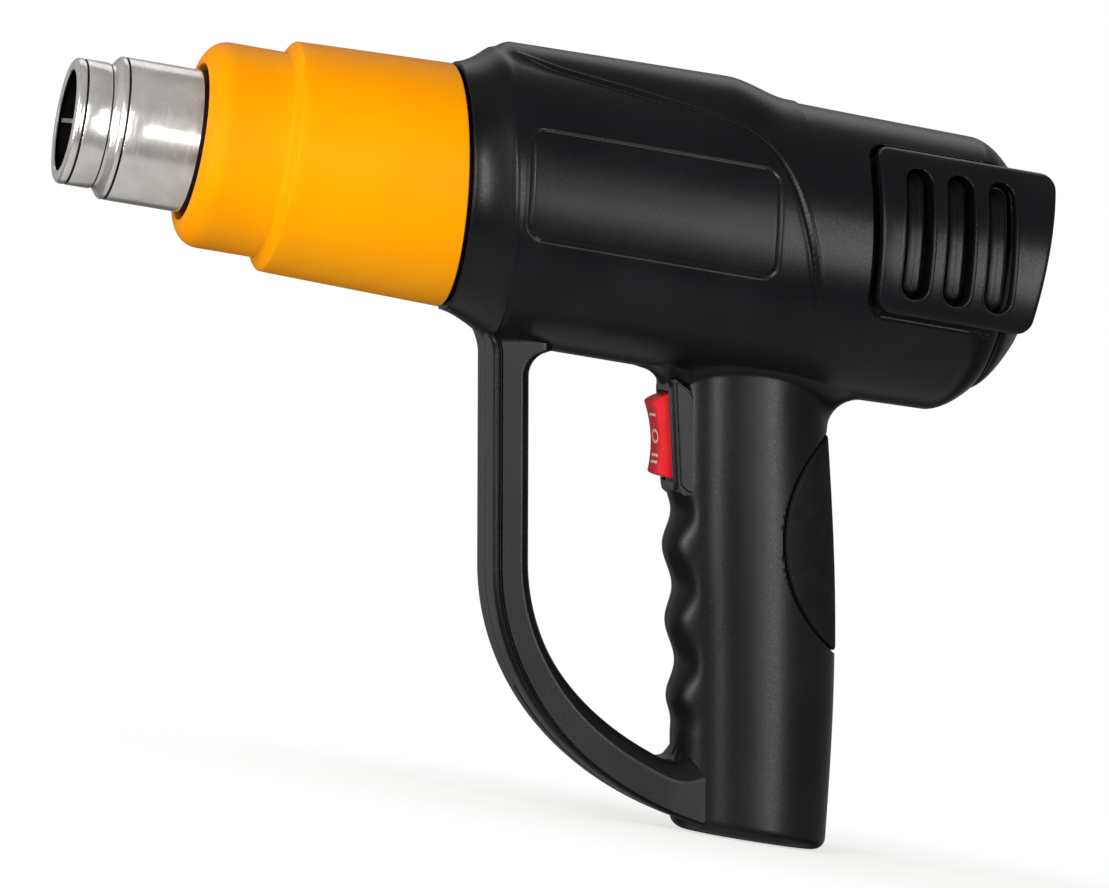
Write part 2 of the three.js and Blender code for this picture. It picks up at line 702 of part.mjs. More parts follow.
const pocketForm = () => cut(prismY(pocketOutline(0), -BEYOND, 0), bodySurface(POCKET_DEPTH));
const pocketBackForm = () => cut(
  prismY(pocketOutline(POCKET_WALL), -BEYOND, 0, 1),
  bodySurface(POCKET_DEPTH + POCKET_WALL),
);

function intakeForm() {
  const middle = ventFrontX + INTAKE_LENGTH / 2;
  const shape = leaningPanel(
    middle - INTAKE_LENGTH / 2,
    middle + INTAKE_LENGTH / 2,
    VENT_RISE - INTAKE_HEIGHT / 2,
    VENT_RISE + INTAKE_HEIGHT / 2,
    INTAKE_LENGTH / 4,
  );
  return prismY(shape, -BEYOND, -MOTOR_RADIUS, 2);
}

function barePanelCut() {
  const left = lipX + PANEL_SETBACK;
  const shape = leaningPanel(
    left,
    left + PANEL_LENGTH,
    PANEL_RISE - PANEL_HEIGHT / 2,
    PANEL_RISE + PANEL_HEIGHT / 2,
    PANEL_CORNER_RADIUS,
  );
  return cut(prismY(shape, -BEYOND, 0), bodySurface(PANEL_DEPTH));
}

// Screw places in X and Z
const alongHandle = (z, ahead) => [handleCentre(z) - ahead, z];
const screwPlaces = [
  [cavityX + SCREW_POST_RADIUS * 0.7, cavityRadius - WALL],
  [lipX + GUARD_SETBACK - undersideZ * handleSlope + GUARD_DEPTH / 3, undersideZ - GUARD_DEPTH],
  [lipX + GUARD_FOOT_SETBACK - GUARD_FOOT_LEAD * 0.62, -GUARD_FOOT_DROP + GUARD_FOOT_LEAD * 0.14],
  alongHandle(undersideZ - HANDLE_SIDE_FILLET - SCREW_POST_RADIUS, -HANDLE_REAR / 2),
  alongHandle(buttZ + BUTT_WALL + GLAND_LENGTH + SCREW_POST_RADIUS * 1.8, HANDLE_FRONT / 3),
  [handleX + SCREW_POST_RADIUS * 2.6, cavityRadius - SCREW_POST_RADIUS + WALL / 2],
  [domeX - SCREW_POST_RADIUS * 1.5, -cavityRadius + SCREW_POST_RADIUS - WALL / 2],
];

const acrossAt = (profile, [x, z]) => solid(lathe(profile, SCREW_SIDES).translate(x, 0, z));
const screwPost = (place) => acrossAt(rod(SCREW_POST_RADIUS, -BEYOND, BEYOND), place);
const screwPilot = (place) => acrossAt(
  rod(screwHoleRadius, SCREW_SEAT - SCREW_LENGTH - CLEARANCE, BEYOND),
  place,
);
const screwRecess = (place) => acrossAt(
  rod(SCREW_HEAD_RADIUS + CLEARANCE * 1.5, SCREW_SEAT - CLEARANCE, BEYOND),
  place,
);

// Soft inlay: the back of the handle inside a round outline
function inlayOutline(grow) {
  const shape = new THREE.Shape();
  const middle = handleCentre(-INLAY_DROP) + INLAY_ARC_SETBACK;
  shape.absarc(middle, -INLAY_DROP, INLAY_ARC_RADIUS + grow, 0, 2 * Math.PI, false);
  return prismY(shape, -BEYOND, BEYOND, 16);
}

function inlayLayer(from, to, grow) {
  const levels = [...gripLevels(FINGERS * 2), ...rootLevels()];
  return cut(handleCore(from, levels), handleCore(to, levels)).intersect(inlayOutline(grow));
}

const inlayForm = () => inlayLayer(-INLAY_PROUD, INLAY_THICKNESS, -CLEARANCE);
const inlayPocket = () => inlayLayer(-WALL, INLAY_THICKNESS + CLEARANCE, 0);

// Housing: outer forms, hollowed, then split along the middle plane
function cavityForm() {
  const barrel = skin([
    disc(cavityX, cavityRadius, BODY_DROP),
    disc(handleX, cavityRadius, BODY_DROP),
    disc(domeX, BODY_REAR_RADIUS - WALL, BODY_DROP),
    disc(bodyEndX - CAP_RIM_THICKNESS, DOME_END_RADIUS + CAP_RIM_DEPTH - WALL + WALL / 2, BODY_DROP / 4),
  ]);
  const grip = [buttZ + BUTT_WALL, -FINGER_TOP_DROP - FINGER_PITCH];
  const shaft = [...grip, undersideZ - HANDLE_REAR_FILLET, undersideZ / 2];
  const hollow = join(barrel, handleCore(HANDLE_WALL, shaft));
  const backs = pocketBackForm();
  return cut(hollow, backs, mirrored(backs), ...screwPlaces.map(screwPost));
}

function frontSocketForm() {
  const front = lipX - LIP_RADIUS;
  return revolveX([
    [0, front], [spigotBoreRadius, front], [spigotBoreRadius, ribX],
    [grooveRadius + CLEARANCE, ribX], [grooveRadius + CLEARANCE, ribEndX],
    [spigotBoreRadius, ribEndX], [spigotBoreRadius, bulkheadX],
    [BULKHEAD_HOLE_RADIUS, bulkheadX], [BULKHEAD_HOLE_RADIUS, cavityX + WALL], [0, cavityX + WALL],
  ]);
}

function capHole() {
  return revolveX(rod(capHoleRadius, bodyEndX - CAP_RIM_THICKNESS - WALL / 2, bodyEndX + WALL));
}

function glandHole() {
  const place = handleCentre(buttZ);
  const profile = rod(GLAND_RADIUS + CLEARANCE, buttZ - WALL, buttZ + BUTT_WALL + WALL);
  return solid(lathe(profile, FINE_SIDES).rotateX(Math.PI / 2).translate(place, 0, 0));
}

function housingForm() {
  const barrel = join(barrelForm(), ridgeForm());
  const outside = join(barrel, handleForm(), guardForm(), switchBlockForm());
  const pocket = pocketForm();
  const intake = intakeForm();
  const panel = barePanelCut();
  return cut(
    outside,
    cavityForm(),
    frontSocketForm(),
    capHole(),
    glandHole(),
    inlayPocket(),
    ...switchCuts(),
    ...[pocket, intake, panel].flatMap((form) => [form, mirrored(form)]),
    ...screwPlaces.map(screwPilot),
  );
}

function housingHalves() {
  const housing = housingForm();
  const far = 4 * AXIS_HEIGHT;
  const leftSpace = block([-far, -far, -far], [far, -PARTING_GAP / 2, far]);
  const rightSpace = block([-far, PARTING_GAP / 2, -far], [far, far, far]);
  const right = cut(housing.intersect(rightSpace), ...screwPlaces.map(screwRecess));
  return { left: housing.intersect(leftSpace), right };
}

// Nozzle tube with a rolled mouth, a swaged shoulder and a clamped flange
function nozzleTube() {
  const mouthBore = MOUTH_RADIUS - STEEL_WALL;
  const shoulderX = MOUTH_LENGTH + SHOULDER_LENGTH;
  const profile = [
    [MOUTH_OPENING_RADIUS, STEEL_WALL], [MOUTH_OPENING_RADIUS + STEEL_WALL / 2, 0],
    [MOUTH_RADIUS - MOUTH_EDGE_RADIUS, 0],
    [MOUTH_RADIUS - MOUTH_EDGE_RADIUS * 0.3, MOUTH_EDGE_RADIUS * 0.3], [MOUTH_RADIUS, MOUTH_EDGE_RADIUS],
    [MOUTH_RADIUS, MOUTH_LENGTH],
    [THREE.MathUtils.lerp(MOUTH_RADIUS, TUBE_RADIUS, 0.7), MOUTH_LENGTH + SHOULDER_LENGTH / 2],
    [TUBE_RADIUS, shoulderX], [TUBE_RADIUS, flangeX],
    [FLANGE_RADIUS, flangeX], [FLANGE_RADIUS, nozzleEndX],
    [tubeBoreRadius, nozzleEndX], [tubeBoreRadius, shoulderX + STEEL_WALL],
    [mouthBore, MOUTH_LENGTH + STEEL_WALL], [mouthBore, STEEL_WALL + MOUTH_EDGE_RADIUS],
  ];
  return revolveX(closed(profile));
}

// Front shroud: a stepped sleeve round the hot tube, held by a groove behind the housing's lip
function frontShroud() {
  const edge = SHROUD_NOSE_EDGE;
  const stepEndX = stepX + SHROUD_STEP_LENGTH;
  const rings = [
    disc(shroudX, SHROUD_NOSE_RADIUS - edge), disc(shroudX + edge * 0.16, SHROUD_NOSE_RADIUS - edge * 0.55),
    disc(shroudX + edge * 0.45, SHROUD_NOSE_RADIUS - edge * 0.18), disc(shroudX + edge, SHROUD_NOSE_RADIUS),
    disc(stepX, SHROUD_NOSE_RADIUS), disc(stepEndX, SHROUD_FRONT_RADIUS),
    disc(lipX - CLEARANCE, SHROUD_REAR_RADIUS, 0, lipSlope),
    disc(lipX - CLEARANCE / 2, SHROUD_SPIGOT_RADIUS, 0, lipSlope),
    disc(shroudEndX, SHROUD_SPIGOT_RADIUS),
  ];
  const bore = SHROUD_FRONT_RADIUS - SHROUD_WALL;
  const noseBore = SHROUD_NOSE_RADIUS - SHROUD_WALL;
  const grooveBore = grooveRadius - SHROUD_WALL;
  const hollow = revolveX([
    [0, shroudX - WALL], [SHROUD_HOLE_RADIUS, shroudX - WALL], [SHROUD_HOLE_RADIUS, shroudX + SHROUD_WALL],
    [noseBore, shroudX + edge], [noseBore, stepEndX], [bore, stepEndX + SHROUD_WALL],
    [bore, ribX - HOUSING_RIB_THICKNESS * 2], [grooveBore, ribX - HOUSING_RIB_THICKNESS],
    [grooveBore, shroudEndX + WALL], [0, shroudEndX + WALL],
  ], SMALL_SIDES);
  const groove = revolveX(tube(grooveRadius, BODY_RADIUS, ribX - CLEARANCE, ribEndX + CLEARANCE));
  const stopX = flangeX - CLEARANCE - SHROUD_STOP_THICKNESS;
  const stop = revolveX(tube(SHROUD_STOP_RADIUS, grooveRadius - SHROUD_WALL / 2, stopX, flangeX - CLEARANCE));
  return join(cut(skin(rings), hollow, groove), stop);
}

const nozzleInsulator = () => revolveX(
  tube(sleeveBoreRadius - HEATER_BASE_RIM, FLANGE_RADIUS, insulatorX, insulatorX + INSULATOR_THICKNESS),
  SMALL_SIDES,
);

const micaSleeve = () => revolveX(
  tube(sleeveBoreRadius, sleeveBoreRadius + MICA_THICKNESS, HEATER_SETBACK, heaterEndX - CLEARANCE),
  SMALL_SIDES,
);

// Heater plates: two mica plates that slot into each other, wide at both ends, with a tongue to the mouth
function heaterPlate(slotFrom, slotTo, tongue = 0) {
  const wide = sleeveBoreRadius - CLEARANCE * 2;
  const narrow = COIL_RADIUS - COIL_WIRE_RADIUS - CLEARANCE * 1.5;
  const from = HEATER_SETBACK;
  const to = heaterEndX - CLEARANCE;
  const inner = [from + HEATER_END_LENGTH, to - HEATER_END_LENGTH];
  const tip = HEATER_TONGUE_HALF_WIDTH;
  const lead = tongue > 0 ? [[from - tongue, tip], [from, tip]] : [];
  const front = [[from, wide], [inner[0], wide], [inner[0], narrow]];
  const back = [[inner[1], narrow], [inner[1], wide], [to, wide]];
  const side = [...lead, ...front, ...back];
  const outline = shapeOf([...side, ...side.map(([x, r]) => [x, -r]).reverse()]);
  const half = HEATER_PLATE_THICKNESS / 2;
  const plate = prismY(outline, -half, half);
  const slot = block([slotFrom, -BEYOND, -half - CLEARANCE], [slotTo, BEYOND, half + CLEARANCE]);
  return cut(plate, slot);
}

// Heating wire, wound round the plates
class CoilPath extends THREE.Curve {
  getPoint(t, target = new THREE.Vector3()) {
    const from = HEATER_SETBACK + HEATER_END_LENGTH + COIL_WIRE_RADIUS * 3;
    const to = heaterEndX - HEATER_END_LENGTH - COIL_WIRE_RADIUS * 4;
    const angle = 2 * Math.PI * COIL_TURNS * t;
    return target.set(from + (to - from) * t, COIL_RADIUS * Math.cos(angle), COIL_RADIUS * Math.sin(angle));
  }
}

function heaterCoil() {
  const stepsPerTurn = 12;
  const section = new THREE.Shape(ringOf(4, (a) => new THREE.Vector2(Math.cos(a), Math.sin(a))
    .multiplyScalar(COIL_WIRE_RADIUS)));
  const extrudePath = new CoilPath();
  const steps = COIL_TURNS * stepsPerTurn;
  const points = Array.from({ length: steps + 1 }, (_, k) => extrudePath.getPoint(k / steps));
  let least = Infinity;
  points.forEach((point, k) => points.slice(k + stepsPerTurn / 2).forEach((other) => {
    least = Math.min(least, point.distanceTo(other) - 2 * COIL_WIRE_RADIUS);
  }));
  console.log(`least gap between the heating wire's turns: ${least.toFixed(2)} mm`);
  return solid(new THREE.ExtrudeGeometry(section, { steps, extrudePath, bevelEnabled: false }));
}

// Heater base: a ring with a cross, open to the air in its four quarters
function heaterBase() {
  const radius = tubeBoreRadius - CLEARANCE;
  const shape = circle(radius, SMALL_SIDES);
  const lean = Math.asin(CUTOUT_SIZE / 2 / radius);
  for (let k = 0; k < 4; k += 1) {
    const from = (k * Math.PI) / 2 + lean;
    const to = ((k + 1) * Math.PI) / 2 - lean;
    shape.holes.push(sector(radius / 2, radius - HEATER_BASE_RIM, from, to, 3));
  }
  return prismX(shape, heaterEndX, heaterEndX + HEATER_BASE_THICKNESS);
}

function thermalCutout() {
  const from = heaterEndX + HEATER_BASE_THICKNESS + CLEARANCE;
  const half = CUTOUT_SIZE / 2;
  const body = revolveX(rod(half, from, from + CUTOUT_LENGTH), 12);
  const lug = block([from, -half * 1.6, -half / 2], [from + CUTOUT_LENGTH / 3, half * 1.6, half / 2]);
  return join(body, lug);
}

// Air duct: a cone from the fan down to the heater, with a flange seated in the housing
function airDuct() {
  const neck = BULKHEAD_HOLE_RADIUS - DUCT_WALL;
  const shell = revolveX(closed([
    [neck, ductX], [neck + DUCT_WALL, ductX], [fanDuctRadius + DUCT_WALL, fanDuctX],
    [fanDuctRadius + DUCT_WALL, ductEndX], [fanDuctRadius, ductEndX], [fanDuctRadius, fanDuctX],
  ]), SMALL_SIDES);
  const flangeEnd = fanDuctX + DUCT_FLANGE_THICKNESS;
  const flange = skin([fanDuctX, flangeEnd].map((x) => disc(x, cavityRadius - CLEARANCE, BODY_DROP)));
  const bore = revolveX(rod(fanDuctRadius + DUCT_WALL / 2, fanDuctX - WALL, flangeEnd + WALL), SMALL_SIDES);
  return join(shell, cut(flange, bore));
}

// Fan: a hub with twisted blades
function fan() {
  const hub = revolveX([
    [shaftHoleRadius, fanX], [FAN_HUB_RADIUS * 0.6, fanX], [FAN_HUB_RADIUS, fanX + FAN_LENGTH * 0.3],
    [FAN_HUB_RADIUS, fanEndX], [shaftHoleRadius, fanEndX], [shaftHoleRadius, fanX],
  ], FINE_SIDES);
  const blade = (turn) => {
    const shares = [0, 0.5, 1];
    const rings = shares.map((share) => {
      const radius = THREE.MathUtils.lerp(FAN_HUB_RADIUS * 0.8, FAN_RADIUS, share);
      const pitch = THREE.MathUtils.degToRad(THREE.MathUtils.lerp(FAN_ROOT_PITCH, FAN_TIP_PITCH, share));
      const chord = (FAN_LENGTH * 0.62) / Math.cos(pitch * 0.7);
      const middle = fanX + FAN_LENGTH * 0.6;
      const corners = [[-1, -1], [1, -1], [1, 1], [-1, 1]];
      return corners.map(([u, v]) => {
        const along = (u * chord) / 2;
        const thick = (v * FAN_BLADE_THICKNESS) / 2;
        const x = middle + along * Math.cos(pitch) - thick * Math.sin(pitch);
        const side = along * Math.sin(pitch) + thick * Math.cos(pitch);
        return new THREE.Vector3(x, side, radius).applyAxisAngle(new THREE.Vector3(1, 0, 0), turn);
      });
    });
    return skin(rings);
  };
  const blades = Array.from({ length: FAN_BLADES }, (_, k) => blade((2 * Math.PI * k) / FAN_BLADES));
  const trim = revolveX(tube(shaftHoleRadius, FAN_RADIUS, fanX, fanEndX), SMALL_SIDES);
  return join(hub, ...blades).intersect(trim);
}

// Motor mount: a spoked plate seated in the housing, with a cup round the front of the motor
function motorMount() {
  const shape = circle(cavityRadius - CLEARANCE, SMALL_SIDES, -BODY_DROP);
  const inner = MOTOR_RADIUS + CLEARANCE + MOUNT_CUP_WALL;
  const outer = cavityRadius - CLEARANCE - BODY_DROP - MOUNT_RIM;
  const lean = Math.asin(MOUNT_SPOKE_WIDTH / 2 / inner);
  for (let k = 0; k < MOUNT_SPOKES; k += 1) {
    const from = (2 * Math.PI * k) / MOUNT_SPOKES + lean;
    const to = (2 * Math.PI * (k + 1)) / MOUNT_SPOKES - lean;
    shape.holes.push(sector(inner, outer, from, to, 3));
  }
  shape.holes.push(circle(BUSH_RADIUS + CLEARANCE * 2, FINE_SIDES));
  const cupBore = MOTOR_RADIUS + CLEARANCE;
  const cup = revolveX(
    tube(cupBore, cupBore + MOUNT_CUP_WALL, mountEndX - MOUNT_THICKNESS / 2, mountEndX + MOUNT_CUP_LENGTH),
    SMALL_SIDES,
  );
  return join(prismX(shape, mountX, mountEndX), cup);
}

function motorCan() {
  const bushHole = BUSH_RADIUS + CLEARANCE;
  return revolveX(closed([
    [bushHole, motorX], [MOTOR_RADIUS, motorX], [MOTOR_RADIUS, motorEndX], [motorBoreRadius, motorEndX],
    [motorBoreRadius, motorX + MOTOR_WALL], [bushHole, motorX + MOTOR_WALL],
  ]), SMALL_SIDES);
}

const motorMiddleX = motorX + MOTOR_WALL + BUSH_LENGTH + MAGNET_LENGTH / 2;

function motorMagnet(up) {
  const half = THREE.MathUtils.degToRad(MAGNET_ARC) / 2;
  const middle = up ? Math.PI / 2 : -Math.PI / 2;
  const bore = motorBoreRadius * Math.cos(Math.PI / SMALL_SIDES) - CLEARANCE;
  const shape = sector(magnetRadius - MAGNET_THICKNESS, bore, middle - half, middle + half, 9);
  return prismX(shape, motorMiddleX - MAGNET_LENGTH / 2, motorMiddleX + MAGNET_LENGTH / 2);
}

const bush = (from) => revolveX(tube(shaftHoleRadius, BUSH_RADIUS, from, from + BUSH_LENGTH), FINE_SIDES);

function motorShaft() {
  return revolveX(rod(SHAFT_RADIUS, fanX - SHAFT_TAIL, endCapEndX + SHAFT_TAIL), FINE_SIDES);
}

// Armature: laminated poles with winding slots between them
function armature() {
  const bite = Math.asin(ARMATURE_SLOT_WIDTH / 2 / ARMATURE_CORE_RADIUS);
  const lip = Math.asin(ARMATURE_SLOT_WIDTH / 2 / armatureRadius);
  const points = Array.from({ length: ARMATURE_POLES }, (_, k) => {
    const from = (2 * Math.PI * k) / ARMATURE_POLES;
    const to = (2 * Math.PI * (k + 1)) / ARMATURE_POLES;
    return [
      ...arcPoints(armatureRadius, from + lip, to - lip, 4),
      ...arcPoints(ARMATURE_CORE_RADIUS, to - bite, to + bite, 1),
    ];
  });
  const shape = new THREE.Shape(points.flat());
  shape.holes.push(circle(shaftHoleRadius, FINE_SIDES));
  return prismX(shape, motorMiddleX - ARMATURE_LENGTH / 2, motorMiddleX + ARMATURE_LENGTH / 2);
}

const commutatorX = motorMiddleX + ARMATURE_LENGTH / 2 + CLEARANCE;
const commutator = () => revolveX(
  tube(shaftHoleRadius, COMMUTATOR_RADIUS, commutatorX, commutatorX + COMMUTATOR_LENGTH),
  FINE_SIDES,
);

// Brush on its arm, which reaches back to the motor's end cap
function brush(side) {
  const inner = COMMUTATOR_RADIUS + CLEARANCE;
  const outer = inner + BRUSH_LENGTH;
  const from = commutatorX + COMMUTATOR_LENGTH / 2 - BRUSH_THICKNESS / 2;
  const half = BRUSH_WIDTH / 2;
  const tip = block([from, inner, -half], [from + BRUSH_THICKNESS, outer, half]);
  const arm = block([from + BRUSH_THICKNESS / 2, outer - half, -half], [endCapX - CLEARANCE, outer, half]);
  const made = join(tip, arm);
  return side < 0 ? mirrored(made) : made;
}

function motorEndCap() {
  const bushHole = BUSH_RADIUS + CLEARANCE;
  const plate = revolveX(tube(bushHole, MOTOR_RADIUS, endCapX, endCapEndX), SMALL_SIDES);
  const tabs = [-1, 1].map((side) => {
    const middle = side * MOTOR_TAB_OFFSET;
    const half = MOTOR_TAB_WIDTH / 2;
    const near = [endCapEndX - WALL, middle - half, -half];
    const far = [endCapEndX + MOTOR_TAB_LENGTH, middle + half, half];
    return block(near, far);
  });
  return join(plate, ...tabs);
}

// Rectifier board with its four diodes
function rectifierBoard() {
  const boardEndX = boardX + BOARD_THICKNESS;
  const board = revolveX(rod(BOARD_RADIUS, boardX, boardEndX), SMALL_SIDES);
  const diodes = [[-1, -1], [1, -1], [1, 1], [-1, 1]].map(([y, z]) => {
    const lying = lathe(rod(DIODE_RADIUS, -DIODE_LENGTH / 2, DIODE_LENGTH / 2), 8);
    const rise = boardEndX + DIODE_RADIUS * 0.8;
    return solid(lying.translate(rise, y * DIODE_OFFSET, z * DIODE_OFFSET * 0.7));
  });
  return join(board, ...diodes);
}

// Rear cap: a domed cup with an air grille, held on the housing's rim
function rearCap() {
  const rimX = bodyEndX - CAP_RIM_THICKNESS - CLEARANCE;
  const frontX = rimX - CAP_FLANGE_THICKNESS;
  const spigot = capHoleRadius - CLEARANCE;
  const bore = spigot - CAP_WALL;
  const seatX = bodyEndX + CLEARANCE;
  const topRadius = DOME_END_RADIUS - CLEARANCE;
  const dome = [0, 0.35, 0.68, 1].map((share) => [
    topRadius - (topRadius - CAP_END_RADIUS) * share ** 1.5,
    seatX + (toolEndX - seatX) * share,
  ]);
  const innerEndX = toolEndX - CAP_WALL;
  const cup = revolveX([
    [0, innerEndX], [CAP_END_RADIUS - CAP_WALL, innerEndX], [bore, seatX], [bore, frontX],
    [spigot + CAP_RIM_DEPTH - CLEARANCE, frontX], [spigot + CAP_RIM_DEPTH - CLEARANCE, rimX],
    [spigot, rimX], [spigot, seatX], ...dome, [0, toolEndX],
  ]);
  const slots = Array.from({ length: CAP_SLOTS }, (_, k) => {
    const z = (k - (CAP_SLOTS - 1) / 2) * CAP_SLOT_PITCH;
    const half = Math.sqrt(CAP_GRILLE_RADIUS ** 2 - (Math.abs(z) + CAP_SLOT_WIDTH / 2) ** 2);
    const thick = CAP_SLOT_WIDTH / 2;
    return block([innerEndX - WALL, -half, z - thick], [toolEndX + WALL, half, z + thick]);
  });
  return cut(cup, ...slots);
}

// Side vent cover: a slotted plate over the housing's pocket, standing on a skirt along its edges
function ventCover() {
  const rearX = toolEndX + (VENT_HEIGHT / 2) * ventRearSlope;
  const outline = leaningPanel(
    ventFrontX,
    rearX,
    ventLow,
    ventHigh,
    VENT_CORNER_RADIUS,
    lineSlope,
    ventRearSlope,
  );
  const skirtEndX = domeX - CLEARANCE;
  const inset = VENT_SKIRT_THICKNESS;
  const inside = leaningPanel(
    ventFrontX + inset,
    toolEndX + BEYOND,
    ventLow + inset,
    ventHigh - inset,
    VENT_CORNER_RADIUS / 2,
  );
  const top = bodySurface(-VENT_PROUD);
  const under = bodySurface(VENT_THICKNESS - VENT_PROUD);
  const seat = bodySurface(POCKET_DEPTH - CLEARANCE);
  const slab = prismY(outline, -BEYOND, 0).intersect(top);
  const hollow = prismY(inside, -BEYOND, 0).intersect(under);
  const tail = block([skirtEndX, -BEYOND, -BEYOND], [toolEndX + BEYOND, 0, BEYOND]).intersect(under);
  const slots = Array.from({ length: VENT_SLOTS }, (_, k) => {
    const middle = ventFrontX + VENT_SLOT_SETBACK + k * VENT_SLOT_PITCH;
    const half = VENT_SLOT_WIDTH / 2;
    const low = VENT_RISE - VENT_SLOT_HEIGHT / 2;
    const high = low + VENT_SLOT_HEIGHT;
    const shape = leaningPanel(middle - half, middle + half, low, high, half * 0.99, slotSlope);
    return prismY(shape, -BEYOND, 0, 3);
  });
  return cut(slab, seat, hollow, tail, ...slots);
}

// Rocker switch pieces, in the switch's own frame with the pivot behind the face
const rockerReach = Math.hypot(ROCKER_END_RISE, ROCKER_HALF_HEIGHT);

function rocker() {
  const topAngle = Math.atan2(ROCKER_HALF_HEIGHT, -ROCKER_END_RISE);
  const heelAngle = Math.asin(Math.sqrt(rockerReach ** 2 - ROCKER_HEEL ** 2) / rockerReach);
  const shape = new THREE.Shape();
  shape.moveTo(-ROCKER_END_RISE, -ROCKER_HALF_HEIGHT);
  shape.absarc(0, 0, rockerReach, -topAngle, -heelAngle, false);
  shape.lineTo(ROCKER_BACK, -ROCKER_HALF_HEIGHT / 2);
  shape.lineTo(ROCKER_BACK, ROCKER_HALF_HEIGHT / 2);
  shape.absarc(0, 0, rockerReach, heelAngle, topAngle, false);
  const dip = 2 * ROCKER_MIDDLE_RISE - ROCKER_END_RISE;
  shape.quadraticCurveTo(-dip, 0, -ROCKER_END_RISE, -ROCKER_HALF_HEIGHT);
  const paddle = solid(roundedPrismY(shape, ROCKER_WIDTH, ROCKER_EDGE, 3));
  const pinHalf = ROCKER_WIDTH / 2 + ROCKER_PIN_LENGTH;
  return join(paddle, revolveY(rod(ROCKER_PIN_RADIUS, -pinHalf, pinHalf), 12));
}

function switchBody() {
  const wellHalfWidth = ROCKER_WIDTH / 2 + CLEARANCE;
  const wellHalfHeight = rockerReach + CLEARANCE;
  const bezel = roundedPrismY(
    shapeOf([
      [-BEZEL_THICKNESS - CLEARANCE, -BEZEL_HEIGHT / 2], [-CLEARANCE, -BEZEL_HEIGHT / 2],
      [-CLEARANCE, BEZEL_HEIGHT / 2], [-BEZEL_THICKNESS - CLEARANCE, BEZEL_HEIGHT / 2],
    ]),
    BEZEL_WIDTH,
    BEZEL_THICKNESS / 4,
  );
  const body = switchBox(
    [-BEZEL_THICKNESS / 2, -switchHalfWidth, -switchHalfHeight],
    [SWITCH_DEPTH, switchHalfWidth, switchHalfHeight],
  );
  const well = switchBox(
    [-BEYOND, -wellHalfWidth, -wellHalfHeight],
    [ROCKER_PIVOT_DEPTH + ROCKER_WELL_DEPTH, wellHalfWidth, wellHalfHeight],
  );
  const pinHoleHalf = ROCKER_WIDTH / 2 + ROCKER_PIN_LENGTH + CLEARANCE;
  const pinHole = lathe(rod(ROCKER_PIN_RADIUS + CLEARANCE, -pinHoleHalf, pinHoleHalf), 12);
  const slots = terminalHeights().map((z) => solid(switchBox(
    [SWITCH_DEPTH - TERMINAL_SEAT, -TERMINAL_WIDTH / 2 - CLEARANCE, z - TERMINAL_THICKNESS / 2 - CLEARANCE],
    [SWITCH_DEPTH + WALL, TERMINAL_WIDTH / 2 + CLEARANCE, z + TERMINAL_THICKNESS / 2 + CLEARANCE],
  )));
  const outside = join(solid(bezel), solid(body));
  return cut(outside, solid(well), solid(pinHole.translate(ROCKER_PIVOT_DEPTH, 0, 0)), ...slots);
}

function terminalHeights() {
  return Array.from({ length: TERMINAL_COUNT }, (_, k) => (k - (TERMINAL_COUNT - 1) / 2) * TERMINAL_PITCH);
}

function switchTerminal(z) {
  const from = SWITCH_DEPTH - TERMINAL_SEAT + CLEARANCE;
  const half = TERMINAL_WIDTH / 2;
  const shape = shapeOf([
    [from, -half], [from + TERMINAL_LENGTH - half / 2, -half], [from + TERMINAL_LENGTH, -half / 2],
    [from + TERMINAL_LENGTH, half / 2], [from + TERMINAL_LENGTH - half / 2, half], [from, half],
  ]);
  const geometry = new THREE.ExtrudeGeometry(shape, { depth: TERMINAL_THICKNESS, bevelEnabled: false });
  return solid(geometry.translate(0, 0, z - TERMINAL_THICKNESS / 2));
}

// Cord gland: a flanged bush held in the flat end of the handle
function cordGland() {
  const flangeZ = buttZ + BUTT_WALL + CLEARANCE;
  const flangeEnd = flangeZ + GLAND_FLANGE_THICKNESS;
  const footZ = buttZ + GLAND_RECESS;
  const profile = closed([
    [GLAND_BORE_RADIUS, footZ], [GLAND_RADIUS, footZ], [GLAND_RADIUS, flangeZ],
    [GLAND_FLANGE_RADIUS, flangeZ], [GLAND_FLANGE_RADIUS, flangeEnd], [GLAND_SLEEVE_RADIUS, flangeEnd],
    [GLAND_SLEEVE_RADIUS, footZ + GLAND_LENGTH], [GLAND_BORE_RADIUS, footZ + GLAND_LENGTH],
  ]);
  const place = handleCentre(buttZ);
  return solid(lathe(profile, FINE_SIDES).rotateX(Math.PI / 2).translate(place, 0, 0));
}

// Housing screw, head to the right side
function housingScrew() {
  const tipY = SCREW_SEAT - SCREW_LENGTH;
  const headY = SCREW_SEAT + SCREW_HEAD_HEIGHT;
  return revolveY([
    [0, tipY], [SCREW_RADIUS, tipY + SCREW_RADIUS * 1.5], [SCREW_RADIUS, SCREW_SEAT],
    [SCREW_HEAD_RADIUS, SCREW_SEAT], [SCREW_HEAD_RADIUS * 0.8, headY], [0, headY],
  ], SCREW_SIDES);
}

